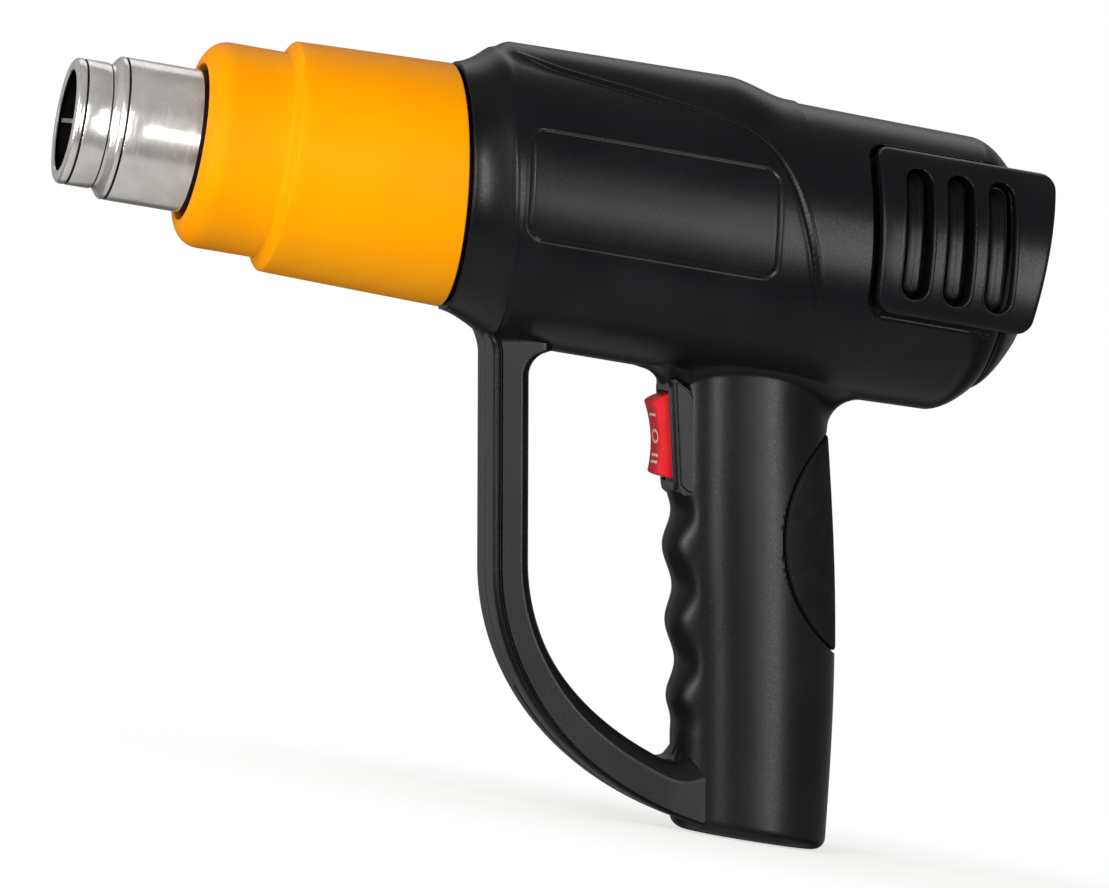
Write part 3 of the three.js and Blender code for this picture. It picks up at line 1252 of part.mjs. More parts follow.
// Finishes
const finish = (color, roughness, metalness) => ({ color, roughness, metalness });
const BLACK_PLASTIC = finish(0x1b1d20, 0.5, 0);
const YELLOW_PLASTIC = finish(0xffae00, 0.45, 0);
const RED_PLASTIC = finish(0xd8262c, 0.3, 0);
const SOFT_RUBBER = finish(0x151617, 0.9, 0);
const STEEL = finish(0xb9b7b2, 0.28, 1);
const ZINC = finish(0x9a9c9e, 0.4, 1);
const BRASS = finish(0xb8955a, 0.35, 1);
const MICA = finish(0x9a8f7c, 0.7, 0);
const CERAMIC = finish(0xd8d2c4, 0.8, 0);
const WIRE = finish(0x6d6660, 0.5, 1);
const IRON = finish(0x5b5d60, 0.5, 1);
const FERRITE = finish(0x2c2c2e, 0.8, 0);
const COPPER = finish(0xb4683c, 0.35, 1);
const GRAPHITE = finish(0x2a2a2a, 0.7, 0);
const BOARD = finish(0x6b7a3c, 0.7, 0);
const GREY_PLASTIC = finish(0x4a4d50, 0.6, 0);

function addPart(parent, name, made, look) {
  const mesh = new THREE.Mesh(geometryOf(made), new THREE.MeshStandardMaterial(look));
  mesh.name = name;
  parent.add(mesh);
  return mesh;
}

const tool = new THREE.Group();
const barrel = new THREE.Group();
barrel.position.set(-toolEndX / 2, 0, AXIS_HEIGHT);
tool.add(barrel);

const halves = housingHalves();
addPart(barrel, 'housing_left', halves.left, BLACK_PLASTIC);
addPart(barrel, 'housing_right', halves.right, BLACK_PLASTIC);
addPart(barrel, 'front_shroud', frontShroud(), YELLOW_PLASTIC);
addPart(barrel, 'nozzle_tube', nozzleTube(), STEEL);
addPart(barrel, 'nozzle_insulator', nozzleInsulator(), CERAMIC);
addPart(barrel, 'mica_sleeve', micaSleeve(), MICA);

const heaterMiddleX = (HEATER_SETBACK + heaterEndX) / 2;
const uprightPlate = heaterPlate(HEATER_SETBACK - WALL, heaterMiddleX + CLEARANCE);
const levelPlate = heaterPlate(heaterMiddleX - CLEARANCE, heaterEndX, HEATER_TONGUE_LENGTH);
addPart(barrel, 'heater_plate_upright', uprightPlate, MICA);
addPart(barrel, 'heater_plate_level', levelPlate, MICA).rotation.x = Math.PI / 2;
addPart(barrel, 'heater_coil', heaterCoil(), WIRE);
addPart(barrel, 'heater_base', heaterBase(), CERAMIC);
addPart(barrel, 'thermal_cutout', thermalCutout(), ZINC);

addPart(barrel, 'air_duct', airDuct(), GREY_PLASTIC);
addPart(barrel, 'fan', fan(), GREY_PLASTIC);
addPart(barrel, 'motor_mount', motorMount(), GREY_PLASTIC);
addPart(barrel, 'motor_can', motorCan(), ZINC);
addPart(barrel, 'motor_magnet_upper', motorMagnet(true), FERRITE);
addPart(barrel, 'motor_magnet_lower', motorMagnet(false), FERRITE);
addPart(barrel, 'motor_shaft', motorShaft(), STEEL);
addPart(barrel, 'motor_bush_front', bush(motorX), BRASS);
addPart(barrel, 'motor_bush_rear', bush(endCapX), BRASS);
addPart(barrel, 'armature', armature(), IRON);
addPart(barrel, 'commutator', commutator(), COPPER);
addPart(barrel, 'brush_left', brush(-1), GRAPHITE);
addPart(barrel, 'brush_right', brush(1), GRAPHITE);
addPart(barrel, 'motor_end_cap', motorEndCap(), GREY_PLASTIC);
addPart(barrel, 'rectifier_board', rectifierBoard(), BOARD);

addPart(barrel, 'rear_cap', rearCap(), BLACK_PLASTIC);
const leftCover = ventCover();
addPart(barrel, 'vent_cover_left', leftCover, BLACK_PLASTIC);
addPart(barrel, 'vent_cover_right', mirrored(leftCover), BLACK_PLASTIC);
addPart(barrel, 'grip_inlay', inlayForm(), SOFT_RUBBER);
addPart(barrel, 'cord_gland', cordGland(), SOFT_RUBBER);

const switchFrame = new THREE.Group();
switchFrame.position.copy(switchPlace);
switchFrame.rotation.y = switchAngle;
barrel.add(switchFrame);
addPart(switchFrame, 'switch_body', switchBody(), BLACK_PLASTIC);
addPart(switchFrame, 'switch_rocker', rocker(), RED_PLASTIC).position.x = ROCKER_PIVOT_DEPTH;
terminalHeights().forEach((z, k) => {
  addPart(switchFrame, `switch_terminal_${k + 1}`, switchTerminal(z), BRASS);
});

screwPlaces.forEach(([x, z], k) => {
  addPart(barrel, `housing_screw_${k + 1}`, housingScrew(), ZINC).position.set(x, 0, z);
});

export default tool;
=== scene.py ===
import math

import bpy
import bmesh
import numpy as np
from mathutils import Matrix, Vector
from mathutils.bvhtree import BVHTree


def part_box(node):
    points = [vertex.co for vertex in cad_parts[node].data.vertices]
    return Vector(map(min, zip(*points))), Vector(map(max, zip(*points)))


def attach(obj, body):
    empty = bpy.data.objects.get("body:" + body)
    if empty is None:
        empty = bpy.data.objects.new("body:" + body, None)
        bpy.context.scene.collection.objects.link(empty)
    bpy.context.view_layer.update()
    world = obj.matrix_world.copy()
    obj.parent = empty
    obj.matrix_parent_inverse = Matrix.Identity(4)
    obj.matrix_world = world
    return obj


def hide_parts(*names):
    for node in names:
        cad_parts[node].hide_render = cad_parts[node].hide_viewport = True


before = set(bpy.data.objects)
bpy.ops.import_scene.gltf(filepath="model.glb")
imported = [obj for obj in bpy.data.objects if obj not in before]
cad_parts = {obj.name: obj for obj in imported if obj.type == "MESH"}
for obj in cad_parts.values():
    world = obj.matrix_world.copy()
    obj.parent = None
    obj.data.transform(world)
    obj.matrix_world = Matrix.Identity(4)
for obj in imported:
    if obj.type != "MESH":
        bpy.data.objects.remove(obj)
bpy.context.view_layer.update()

# Tool coordinates, in millimetres: S from the nozzle mouth to the rear, Y to the right, Z up from the axis.
TOOL_LENGTH = 261.8
AXIS_HEIGHT = 159.2
MM = 0.001
RAKE, LIP_RAKE, COLLAR_RAKE, HANDLE_RAKE = (math.tan(math.radians(a)) for a in (5.9, 6.4, 8.5, 9.5))
BODY_R, BODY_DROP = 38.3, 0.6
UNDERSIDE = -BODY_R - BODY_DROP
LIP_S = 104.6
HANDLE_S = LIP_S + 83.4


def place(points):
    """Tool millimetres to the frame's metres."""
    return (np.asarray(points, float) + np.array([-TOOL_LENGTH / 2, 0, AXIS_HEIGHT])) * MM


def new_piece(name, points, faces, material, body="tool", sharp=32):
    """A mesh in tool coordinates, with its doubled points joined."""
    mesh = bpy.data.meshes.new(name)
    mesh.from_pydata(place(points).tolist(), [], [list(f) for f in faces])
    made = bmesh.new()
    made.from_mesh(mesh)
    bmesh.ops.remove_doubles(made, verts=made.verts, dist=2e-6)
    made.to_mesh(mesh)
    made.free()
    mesh.validate()
    piece = bpy.data.objects.new(name, mesh)
    bpy.context.scene.collection.objects.link(piece)
    return dress(piece, material, body, sharp)


def dress(piece, material, body="tool", sharp=32):
    """Smooth faces with sharp folds, one material, carried by a body."""
    piece.data.materials.clear()
    piece.data.materials.append(material)
    piece.data.shade_smooth()
    piece.data.set_sharp_from_angle(angle=math.radians(sharp))
    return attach(piece, body)


def grid_faces(count, across, loop_rows=False, loop_columns=False, flip=False):
    """Four-sided faces over rows of points."""
    i = np.arange(count - (0 if loop_rows else 1))[:, None]
    j = np.arange(across - (0 if loop_columns else 1))[None, :]
    a, b = i * across + j, i * across + (j + 1) % across
    below = (i + 1) % count
    c, d = below * across + (j + 1) % across, below * across + j
    order = (a, d, c, b) if flip else (a, b, c, d)
    return np.stack(np.broadcast_arrays(*order), -1).reshape(-1, 4).tolist()


def grid_piece(name, rows, material, body="tool", sharp=32, **turns):
    """A piece skinned over rows of points."""
    rows = np.array(rows)
    faces = grid_faces(*rows.shape[:2], **turns)
    return new_piece(name, rows.reshape(-1, 3), faces, material, body, sharp)


def revolved(name, profile, material, sides, axis="x", centre=(0, 0, 0), sharp=32):
    """A profile of (distance along the axis, radius), turned round. A closed one repeats its first point."""
    along, radius = np.array(profile, float).T
    turn = np.linspace(0, 2 * math.pi, sides, endpoint=False)
    rows = np.empty((len(along), sides, 3))
    first, second = {"x": (1, 2), "y": (2, 0), "z": (0, 1)}[axis]
    rows[..., "xyz".index(axis)] = along[:, None]
    rows[..., first] = radius[:, None] * np.cos(turn)
    rows[..., second] = radius[:, None] * np.sin(turn)
    return grid_piece(name, rows + np.array(centre), material, sharp=sharp, loop_columns=True, flip=True)


def outward(piece):
    """Turns every face of a closed piece to the outside."""
    made = bmesh.new()
    made.from_mesh(piece.data)
    bmesh.ops.recalc_face_normals(made, faces=made.faces)
    made.to_mesh(piece.data)
    made.free()
    return piece


def carve(piece, *cutters):
    """Cuts the cutters out of the piece and takes them away."""
    for cutter in cutters:
        step = piece.modifiers.new("carve", "BOOLEAN")
        step.object, step.operation, step.solver = cutter, "DIFFERENCE", "EXACT"
    graph = bpy.context.evaluated_depsgraph_get()
    mesh = bpy.data.meshes.new_from_object(piece.evaluated_get(graph))
    piece.modifiers.clear()
    piece.data = mesh
    for cutter in cutters:
        bpy.data.objects.remove(cutter)


def soften(piece, width, segments=3, angle=40):
    """Rounds the folds of a moulded piece."""
    step = piece.modifiers.new("moulded edge", "BEVEL")
    step.width, step.segments, step.limit_method = width * MM, segments, "ANGLE"
    step.angle_limit = math.radians(angle)
    step.harden_normals = True


def prism(name, outline, low, high, material, body="tool", to_tool=None):
    """An outline in S and Z, extruded across the tool."""
    count = len(outline)
    points = np.array([(s, y, z) for y in (low, high) for s, z in outline], float)
    faces = [list(range(count)), list(range(2 * count - 1, count - 1, -1))]
    faces += [[k, count + k, count + (k + 1) % count, (k + 1) % count] for k in range(count)]
    return outward(new_piece(name, to_tool(points) if to_tool else points, faces, material, body))


def reach_out(side, near, far):
    """Low and high ends of a stretch on one side of the tool."""
    return sorted((side * near, side * far))


# Materials

def srgb(code):
    """A hex colour as linear light."""
    parts = [int(code[k:k + 2], 16) / 255 for k in (1, 3, 5)]
    return [c / 12.92 if c <= 0.04045 else ((c + 0.055) / 1.055) ** 2.4 for c in parts] + [1.0]


def add(tree, kind, values=None, links=None, stops=(), **settings):
    """One node with its settings, socket values, incoming links and stops, which are colours or greys."""
    node = tree.nodes.new(kind)
    for key, value in settings.items():
        setattr(node, key, value)
    for socket, value in (values or {}).items():
        node.inputs[socket].default_value = value
    for socket, source in (links or {}).items():
        tree.links.new(source, node.inputs[socket])
    for _ in stops[2:]:
        node.color_ramp.elements.new(0.5)
    for k, (at, value) in enumerate(stops):
        element = node.color_ramp.elements[k]
        element.position = at
        element.color = srgb(value) if isinstance(value, str) else (value, value, value, 1)
    return node


def surface(name, shades, roughness, grain, bump, stretch=(1, 1, 1), blotch=18.0, detail=4.0, **shader):
    """A surface whose shade drifts over blotches, with a grain that varies the gloss and lifts the surface.
    Grain and blotch are in millimetres, and shades run from the darkest to the lightest drift."""
    material = bpy.data.materials.new(name)
    material.use_nodes = True
    tree = material.node_tree
    shade = tree.nodes["Principled BSDF"]
    for socket, value in shader.items():
        shade.inputs[socket.replace("_", " ")].default_value = value
    where = add(tree, "ShaderNodeTexCoord").outputs["Object"]
    lie = add(tree, "ShaderNodeMapping", {"Scale": stretch}, {"Vector": where}).outputs["Vector"]
    broad = {"Scale": 1000 / blotch, "Detail": 3.0}
    drift = add(tree, "ShaderNodeTexNoise", broad, {"Vector": where}).outputs["Fac"]
    fine = {"Scale": 1000 / grain, "Detail": detail, "Roughness": 0.6}
    grains = add(tree, "ShaderNodeTexNoise", fine, {"Vector": lie}).outputs["Fac"]
    stops = [(0.32 + 0.36 * k / (len(shades) - 1), code) for k, code in enumerate(shades)]
    tint = add(tree, "ShaderNodeValToRGB", links={"Fac": drift}, stops=stops)
    tree.links.new(tint.outputs["Color"], shade.inputs["Base Color"])
    stops = [(0.3, roughness[0]), (0.7, roughness[1])]
    gloss = add(tree, "ShaderNodeValToRGB", links={"Fac": grains}, stops=stops)
    tree.links.new(gloss.outputs["Color"], shade.inputs["Roughness"])
    strength, height = bump
    lifted = add(tree, "ShaderNodeBump", {"Strength": strength, "Distance": height * MM}, {"Height": grains})
    tree.links.new(lifted.outputs["Normal"], shade.inputs["Normal"])
    return material


# Satin black moulded polyamide: near-black with a cool cast. Its spark-eroded grain breaks the highlights
# and is drawn coarser than it is, so that it shows.
BLACK = surface("glass_filled_polyamide_black_moulded", ["#0C0D0F", "#101113", "#151618"],
                (0.25, 0.35), 0.55, (0.2, 0.05), blotch=26.0, Specular_IOR_Level=0.23)
# Amber moulded polyamide: saturated and even, with a soft sheen.
AMBER = surface("polyamide_amber_moulded", ["#FC9A00", "#FF9F00", "#FFA500"],
                (0.4, 0.5), 0.7, (0.1, 0.04), blotch=40.0, Specular_IOR_Level=0.05)
# Drawn stainless steel: bright bands along the tube, broken by faint drawing marks and shallow dents.
STEEL = surface("stainless_steel_drawn_polished", ["#E6E2DC", "#EFECE7", "#F8F6F2"],
                (0.15, 0.28), 1.3, (0.25, 0.06), stretch=(1.6, 0.35, 0.35), blotch=7.0, Metallic=0.75)
# Heat-darkened inside of the tube: brown-black, dull. It also serves as painted shade in the rolled creases
# and on the steel hidden under the shroud.
SCALE_AND_SHADE = surface("stainless_steel_heat_scale_and_painted_shade", ["#14110F", "#1D1917", "#27221E"],
                (0.45, 0.6), 0.8, (0.25, 0.04), blotch=5.0, Metallic=0.6)
# Soft overmoulded rubber: matt, with a fine speckle.
RUBBER = surface("thermoplastic_rubber_overmoulded", ["#0A0B0C", "#0E0F10", "#141517"],
                 (0.6, 0.8), 0.8, (0.6, 0.12), blotch=6.0, detail=6.0, Specular_IOR_Level=0.2)
# Glossy red rocker: clear-faced moulded plastic.
RED = surface("polycarbonate_red_polished", ["#D8232B", "#DE2A31", "#E4343A"],
              (0.2, 0.3), 0.9, (0.05, 0.02), blotch=12.0, Specular_IOR_Level=0.01)
# Cream pad-printed ink: flat and matt, with a crisp edge.
CREAM = surface("pad_print_ink_cream", ["#EBDCC2", "#F2E6CF"], (0.5, 0.6), 0.3, (0.1, 0.01), blotch=2.0,
                Specular_IOR_Level=0.06)
# Black nylon of the switch frame: a little shinier than the housing.
NYLON = surface("nylon_black_moulded", ["#151618", "#1B1C1F"], (0.3, 0.42), 0.4, (0.12, 0.03), blotch=9.0)
# Grey moulded polyamide of the fan, duct and motor mount: even and matt.
GREY = surface("polyamide_grey_moulded", ["#44474A", "#4C4F52", "#55585B"], (0.48, 0.62), 0.6, (0.2, 0.05))
# Pressed mica board: flaky, brown-grey, with a pearly sheen.
MICA = surface("mica_board_pressed", ["#5C564C", "#686257", "#787166"],
               (0.4, 0.7), 1.6, (0.4, 0.08), blotch=5.0, stretch=(0.4, 1, 1))
# Unglazed ceramic: chalky, without sheen.
CERAMIC = surface("steatite_ceramic_fired", ["#CFC8B8", "#DAD4C6"],
                  (0.7, 0.85), 0.4, (0.3, 0.04), blotch=8.0)
# Oxidised resistance wire: dark metal, dulled by heat.
WIRE = surface("nichrome_wire_oxidised", ["#4A423C", "#5E554E", "#716860"],
               (0.4, 0.6), 0.3, (0.2, 0.02), blotch=3.0, Metallic=1.0)
# Zinc-plated steel of the screws, motor can and cutout: cool grey with a soft sheen.
ZINC = surface("steel_zinc_plated", ["#8E9194", "#9DA0A3", "#ADB0B2"],
               (0.26, 0.42), 0.5, (0.15, 0.02), blotch=6.0, Metallic=1.0)
# Sintered bronze and stamped brass: warm yellow metal.
BRASS = surface("bronze_sintered", ["#A2824C", "#B8955A"],
                (0.3, 0.45), 0.25, (0.2, 0.02), blotch=4.0, Metallic=1.0)
# Turned copper: bare, reddish segments.
COPPER = surface("copper_turned", ["#A85D34", "#BC7043"],
                 (0.28, 0.42), 0.3, (0.15, 0.02), blotch=3.0, Metallic=1.0)
# Varnished steel laminations: grey, striped along the shaft.
IRON = surface("steel_laminations_varnished", ["#4B4D50", "#5E6164"],
               (0.4, 0.55), 0.5, (0.4, 0.05), blotch=4.0, stretch=(3, 0.3, 0.3), Metallic=0.8)
# Sintered ferrite and pressed carbon: dull, dark, grainy.
FERRITE = surface("ferrite_sintered", ["#28292B", "#323335"], (0.6, 0.8), 0.3, (0.3, 0.03), blotch=5.0)
CARBON = surface("carbon_pressed", ["#222222", "#2E2D2D"], (0.45, 0.65), 0.2, (0.3, 0.02), blotch=2.0)
# Paper laminate board: green, with a waxy face.
LAMINATE = surface("paper_laminate_board", ["#5F6E33", "#74834A"],
                   (0.5, 0.65), 0.5, (0.2, 0.02), blotch=5.0)


# Housing

def smooth_max(a, b, blend):
    """The larger of two values, with a rounded change from one to the other."""
    gap = np.clip(1 - np.abs(a - b) / blend, 0, 1)
    return np.maximum(a, b) + blend * gap * gap / 4


def smooth_step(x, low, high):
    """An even rise from 0 at low to 1 at high."""
    t = np.clip((x - low) / (high - low), 0, 1)
    return t * t * (3 - 2 * t)


def side_of_body(z):
    """Half-width of the plain barrel at a height."""
    return np.sqrt(np.maximum(BODY_R ** 2 - (z + BODY_DROP) ** 2, 1e-6))


COLLAR_S, DOME_S, BODY_END_S = LIP_S + 10.8, 242.9, 253.4
LIP_R, LIP_FLARE, COLLAR_R, DOME_R, BODY_END_R = 32.9, 5.5, 38.6, 37.2, 30.8
BACK_S, BACK_TOP, BACK_RISE, BACK_ARCH = LIP_S + 9.7, 40.4, 3.6, 21.5
SEAM_DEPTH = 0.28
LINE_DEPTH, LINE_HALF, SWELL_HEIGHT, SWELL_AT, SWELL_HALF = 0.5, 0.55, 0.2, 1.2, 0.4
PANEL = dict(left=119.0, right=186.6, low=-10.45, high=17.85, corner=4.0, depth=0.5, groove=0.42)
# The pocket runs out past the rear end.
POCKET = dict(left=212.3, right=400, low=-15.9, high=29.6, corner=5.2, depth=5.4)
STYLING_LINE = [(112.6, 37.0), (117, 35.8), (126, 34.3), (136, 33.2), (147, 32), (162, 30), (172, 28.6),
                (177, 27.3), (181, 25.1), (184.5, 22.3), (187.6, 18.4), (190.2, 14), (192.7, 8.7),
                (195, 3.1), (197.2, -2.8), (199, -8.6), (200.4, -14.6), (201, -19.6)]


def barrel_radius(station, angle):
    """Distance of the outside from the barrel axis, with the flared collar and the raised back."""
    flare = LIP_R + LIP_FLARE * np.clip((station - LIP_S) / (COLLAR_S - LIP_S), 0, 1.4) ** 1.5
    body = np.interp(station, [COLLAR_S, COLLAR_S + 1.8, 124, HANDLE_S, DOME_S],
                     [COLLAR_R, 38.2, BODY_R, BODY_R, DOME_R])
    radius = -smooth_max(-flare, -body, 1.0)
    dome = np.clip((station - DOME_S) / (BODY_END_S - DOME_S), 0, 1)
    radius = radius - (DOME_R - BODY_END_R) * dome ** 1.8
    drop = BODY_DROP * np.clip((station - COLLAR_S) / 10, 0, 1) * (1 - dome)
    rise, level = np.sin(angle), np.cos(angle)
    plain = -drop * rise + np.sqrt(radius ** 2 - (drop * level) ** 2)
    along = station - BACK_S
    lift = smooth_step(along, -0.5, 4.5) * (1 - smooth_step(along, 64, 82))
    arch = BACK_ARCH + 11 * np.clip(along / 81, 0, 1)
    middle = BACK_TOP + 1.1 * np.clip(along / 70, 0, 1) - (1 - lift) * BACK_RISE - arch
    inside = arch ** 2 - (middle * level) ** 2
    ridge = np.where(inside > 0, middle * rise + np.sqrt(np.maximum(inside, 0)), 0)
    live = (along > -1) & (along < 83) & (rise > 0)
    return np.where(live, smooth_max(plain, ridge, 0.9), plain)


def spread(marks, low, high, step):
    """Values from low to high about a step apart, exact at the marks."""
    stops = sorted({low, high, *[m for m in marks if low < m < high]})
    counts = [max(2, int(round((b - a) / step)) + 1) for a, b in zip(stops, stops[1:])]
    runs = [np.linspace(a, b, n)[:-1] for a, b, n in zip(stops, stops[1:], counts)]
    return np.concatenate(runs + [[high]])


def past_panel(s, z, box):
    """Distance outside a leaning panel with round corners, negative inside it."""
    middle, corner = (box["low"] + box["high"]) / 2, box["corner"]
    left = box["left"] - (z - middle) * RAKE
    right = box["right"] - (z - middle) * RAKE
    half_s, half_z = (right - left) / 2, (box["high"] - box["low"]) / 2
    qs = np.abs(s - (left + right) / 2) - half_s + corner
    qz = np.abs(z - middle) - half_z + corner
    return np.hypot(np.maximum(qs, 0), np.maximum(qz, 0)) + np.minimum(np.maximum(qs, qz), 0) - corner


def styling_groove(points):
    """Depth of the moulded line along the raised back and down the side, with a swell beside it."""
    knots = np.array(STYLING_LINE)
    t = np.linspace(0, len(knots) - 1, 260)
    line = np.array([np.interp(t, range(len(knots)), ends) for ends in knots.T])
    for _ in range(14):
        line[:, 1:-1] = (line[:, :-2] + 2 * line[:, 1:-1] + line[:, 2:]) / 4
    s, z = line
    line = np.stack([s, -side_of_body(z), z], -1)
    near = np.full(len(points), 1e9)
    spot = np.zeros(len(points), int)
    for k, p in enumerate(line):
        d = np.linalg.norm(points - p, axis=1)
        spot = np.where(d < near, k, spot)
        near = np.minimum(near, d)
    run = np.gradient(line, axis=0)
    run /= np.linalg.norm(run, axis=1)[:, None]
    along = np.clip(np.sum((points - line[spot]) * run[spot], axis=1), -0.6, 0.6)
    near = np.sqrt(np.maximum(near ** 2 - along ** 2, 0))
    spot = spot / len(line)
    strength = smooth_step(spot, 0.0, 0.05) * (1 - smooth_step(spot, 0.84, 0.995))
    groove = LINE_DEPTH * np.exp(-(near / LINE_HALF) ** 2)
    return strength * (groove - SWELL_HEIGHT * np.exp(-((near - SWELL_AT) / SWELL_HALF) ** 2))


def barrel_half():
    """Left half of the barrel's skin, from inside the lip to inside the rear hole."""
    def at_z(z, r=BODY_R):
        return math.degrees(math.asin((z + BODY_DROP) / r))

    pocket_edges = [POCKET["low"], POCKET["high"]]
    marks = [at_z(z) + turn for z in (PANEL["low"], PANEL["high"], *pocket_edges) for turn in (-0.45, 0.45)]
    angles = np.concatenate([[-90, -89.9, -89.45, -88.8], spread(marks, -87, -36, 2.4),
                             spread(marks, -36, 80, 0.56)[1:], spread([], 80, 88.8, 1.1)[1:],
                             [89.45, 89.9, 90]])
    panel_shift, pocket_shift = ((box["low"] + box["high"]) / 2 * RAKE for box in (PANEL, POCKET))
    lines = [PANEL["left"] + panel_shift, PANEL["right"] + panel_shift, POCKET["left"] + pocket_shift]
    marks = [s + shift for s in lines for shift in (-0.3, 0.3)]
    stations = np.concatenate([np.linspace(LIP_S + 0.7, COLLAR_S, 20),
                               spread(marks, COLLAR_S, 206, 0.42)[1:], spread(marks, 206, 222, 0.4)[1:],
                               spread([], 222, DOME_S, 1.2)[1:],
                               np.linspace(DOME_S, BODY_END_S - 0.5, 14)[1:]])
    station = np.repeat(stations[:, None], len(angles), 1)
    plain = np.interp(stations, [HANDLE_S, DOME_S, BODY_END_S], [BODY_R, DOME_R, 36.0])
    even = [-90, *map(at_z, pocket_edges), 90]
    bent = [[-90, *[at_z(z, r) for z in pocket_edges], 90] for r in plain]
    angle = np.radians([np.interp(angles, even, turned) for turned in bent])
    radius = barrel_radius(station, angle)
    lean = np.interp(station, [LIP_S, COLLAR_S, COLLAR_S + 3, 216, 240],
                     [LIP_RAKE, COLLAR_RAKE, RAKE, RAKE, 0])
    z = radius * np.sin(angle)
    y = -radius * np.cos(angle)
    s = station - z * lean
    body = side_of_body(np.clip(z, UNDERSIDE + 0.1, BODY_R - BODY_DROP - 0.1))
    past = past_panel(s, z, PANEL)
    groove = PANEL["depth"] * np.exp(-(past / PANEL["groove"]) ** 2)
    y = -(np.abs(y) - 0.1 * smooth_step(past, 0.3, -0.3) - groove)
    pocket = smooth_step(past_panel(s, z, POCKET), 0.3, -0.3)
    floor = np.minimum(np.abs(y), body - POCKET["depth"])
    y = -(np.abs(y) * (1 - pocket) + floor * pocket)
    sink = styling_groove(np.stack([s, y, z], -1).reshape(-1, 3)).reshape(y.shape)
    sink = sink + SEAM_DEPTH * np.exp(-(np.abs(y) / 0.2) ** 2)
    y = y + sink * np.cos(angle)
    z = z - sink * np.sin(angle)
    rows = np.stack([s, y, z], -1)

    def ring(at, r, rake):
        z = r * np.sin(np.radians(angles))
        return np.stack([at - z * rake, -r * np.cos(np.radians(angles)), z], -1)

    lip = [(LIP_S + 6.3, 31.2), (LIP_S + 0.5, 31.2), (LIP_S + 0.15, 31.35), (LIP_S, 31.7), (LIP_S, 32.3),
           (LIP_S + 0.12, 32.68), (LIP_S + 0.36, LIP_R)]
    rear = [(BODY_END_S - 0.15, 30.75), (BODY_END_S, 30.35), (BODY_END_S, 29.5), (BODY_END_S - 0.2, 29.1),
            (BODY_END_S - 3, 29.0)]
    front = np.stack([ring(a, r, LIP_RAKE) for a, r in lip])
    back = np.stack([ring(a, r, 0) for a, r in rear])
    return np.concatenate([front, rows, back])


HANDLE_FRONT, HANDLE_REAR, HANDLE_HALF, SQUARENESS = 22.4, 21.2, 17.0, 2.2
FINGER_TOP, FINGER_PITCH, FINGER_DEPTH, PALM_SWELL = -85.2, 19.8, 1.2, 2.7
SIDE_FILLET, REAR_FILLET, FRONT_FILLET, FOOT_R, WALL_LOW = 3.4, 11.0, 6.0, 3.5, 4.2
BUTT = -AXIS_HEIGHT
INLAY_Z, INLAY_R, INLAY_GAP, INLAY_SINK = -73.1, 35.7, 0.65, 1.4
INLAY_S = HANDLE_S - INLAY_Z * HANDLE_RAKE + 42.2
INLAY_EDGE, INLAY_HEIGHT, INLAY_ROUND = -0.9, 1.1, 1.2


def handle_front(z, grip=1.0):
    """Reach of the handle ahead of its middle, with a share of the finger grooves."""
    lowest = FINGER_TOP - 2 * FINGER_PITCH
    fade = smooth_step(z, lowest - FINGER_PITCH / 2, lowest)
    fade = fade * (1 - smooth_step(z, FINGER_TOP + 10, FINGER_TOP + 20))
    wave = grip * fade * FINGER_DEPTH * np.cos(2 * math.pi * (z - FINGER_TOP) / FINGER_PITCH)
    return HANDLE_FRONT + wave - 1.3 * smooth_step(-z, 80, 120)


def handle_rear(z):
    """Reach of the handle behind its middle, with a swell for the palm."""
    share = np.clip((z - BUTT) / (AXIS_HEIGHT - 45), 0, 1)
    return HANDLE_REAR + PALM_SWELL * np.sin(math.pi * share)


def handle_point(z, turn, grow=0.0):
    """Handle surface at a height, turned from 0 at the rear to pi at the front, on the left side."""
    cosine, sine = np.cos(turn), np.sin(turn)
    reach = np.where(cosine > 0, handle_rear(z), handle_front(z, smooth_step(-cosine, 0.68, 0.97))) + grow
    bulge = lambda v: np.sign(v) * np.abs(v) ** (2 / SQUARENESS)
    s = HANDLE_S - z * HANDLE_RAKE + reach * bulge(cosine)
    return np.stack(np.broadcast_arrays(s, -(HANDLE_HALF + grow) * bulge(sine), z), -1)


def barrel_underside(s, y):
    """Height of the barrel's lower face."""
    radius = np.interp(s, [HANDLE_S, DOME_S], [BODY_R, DOME_R])
    return -BODY_DROP - np.sqrt(radius ** 2 - y ** 2)


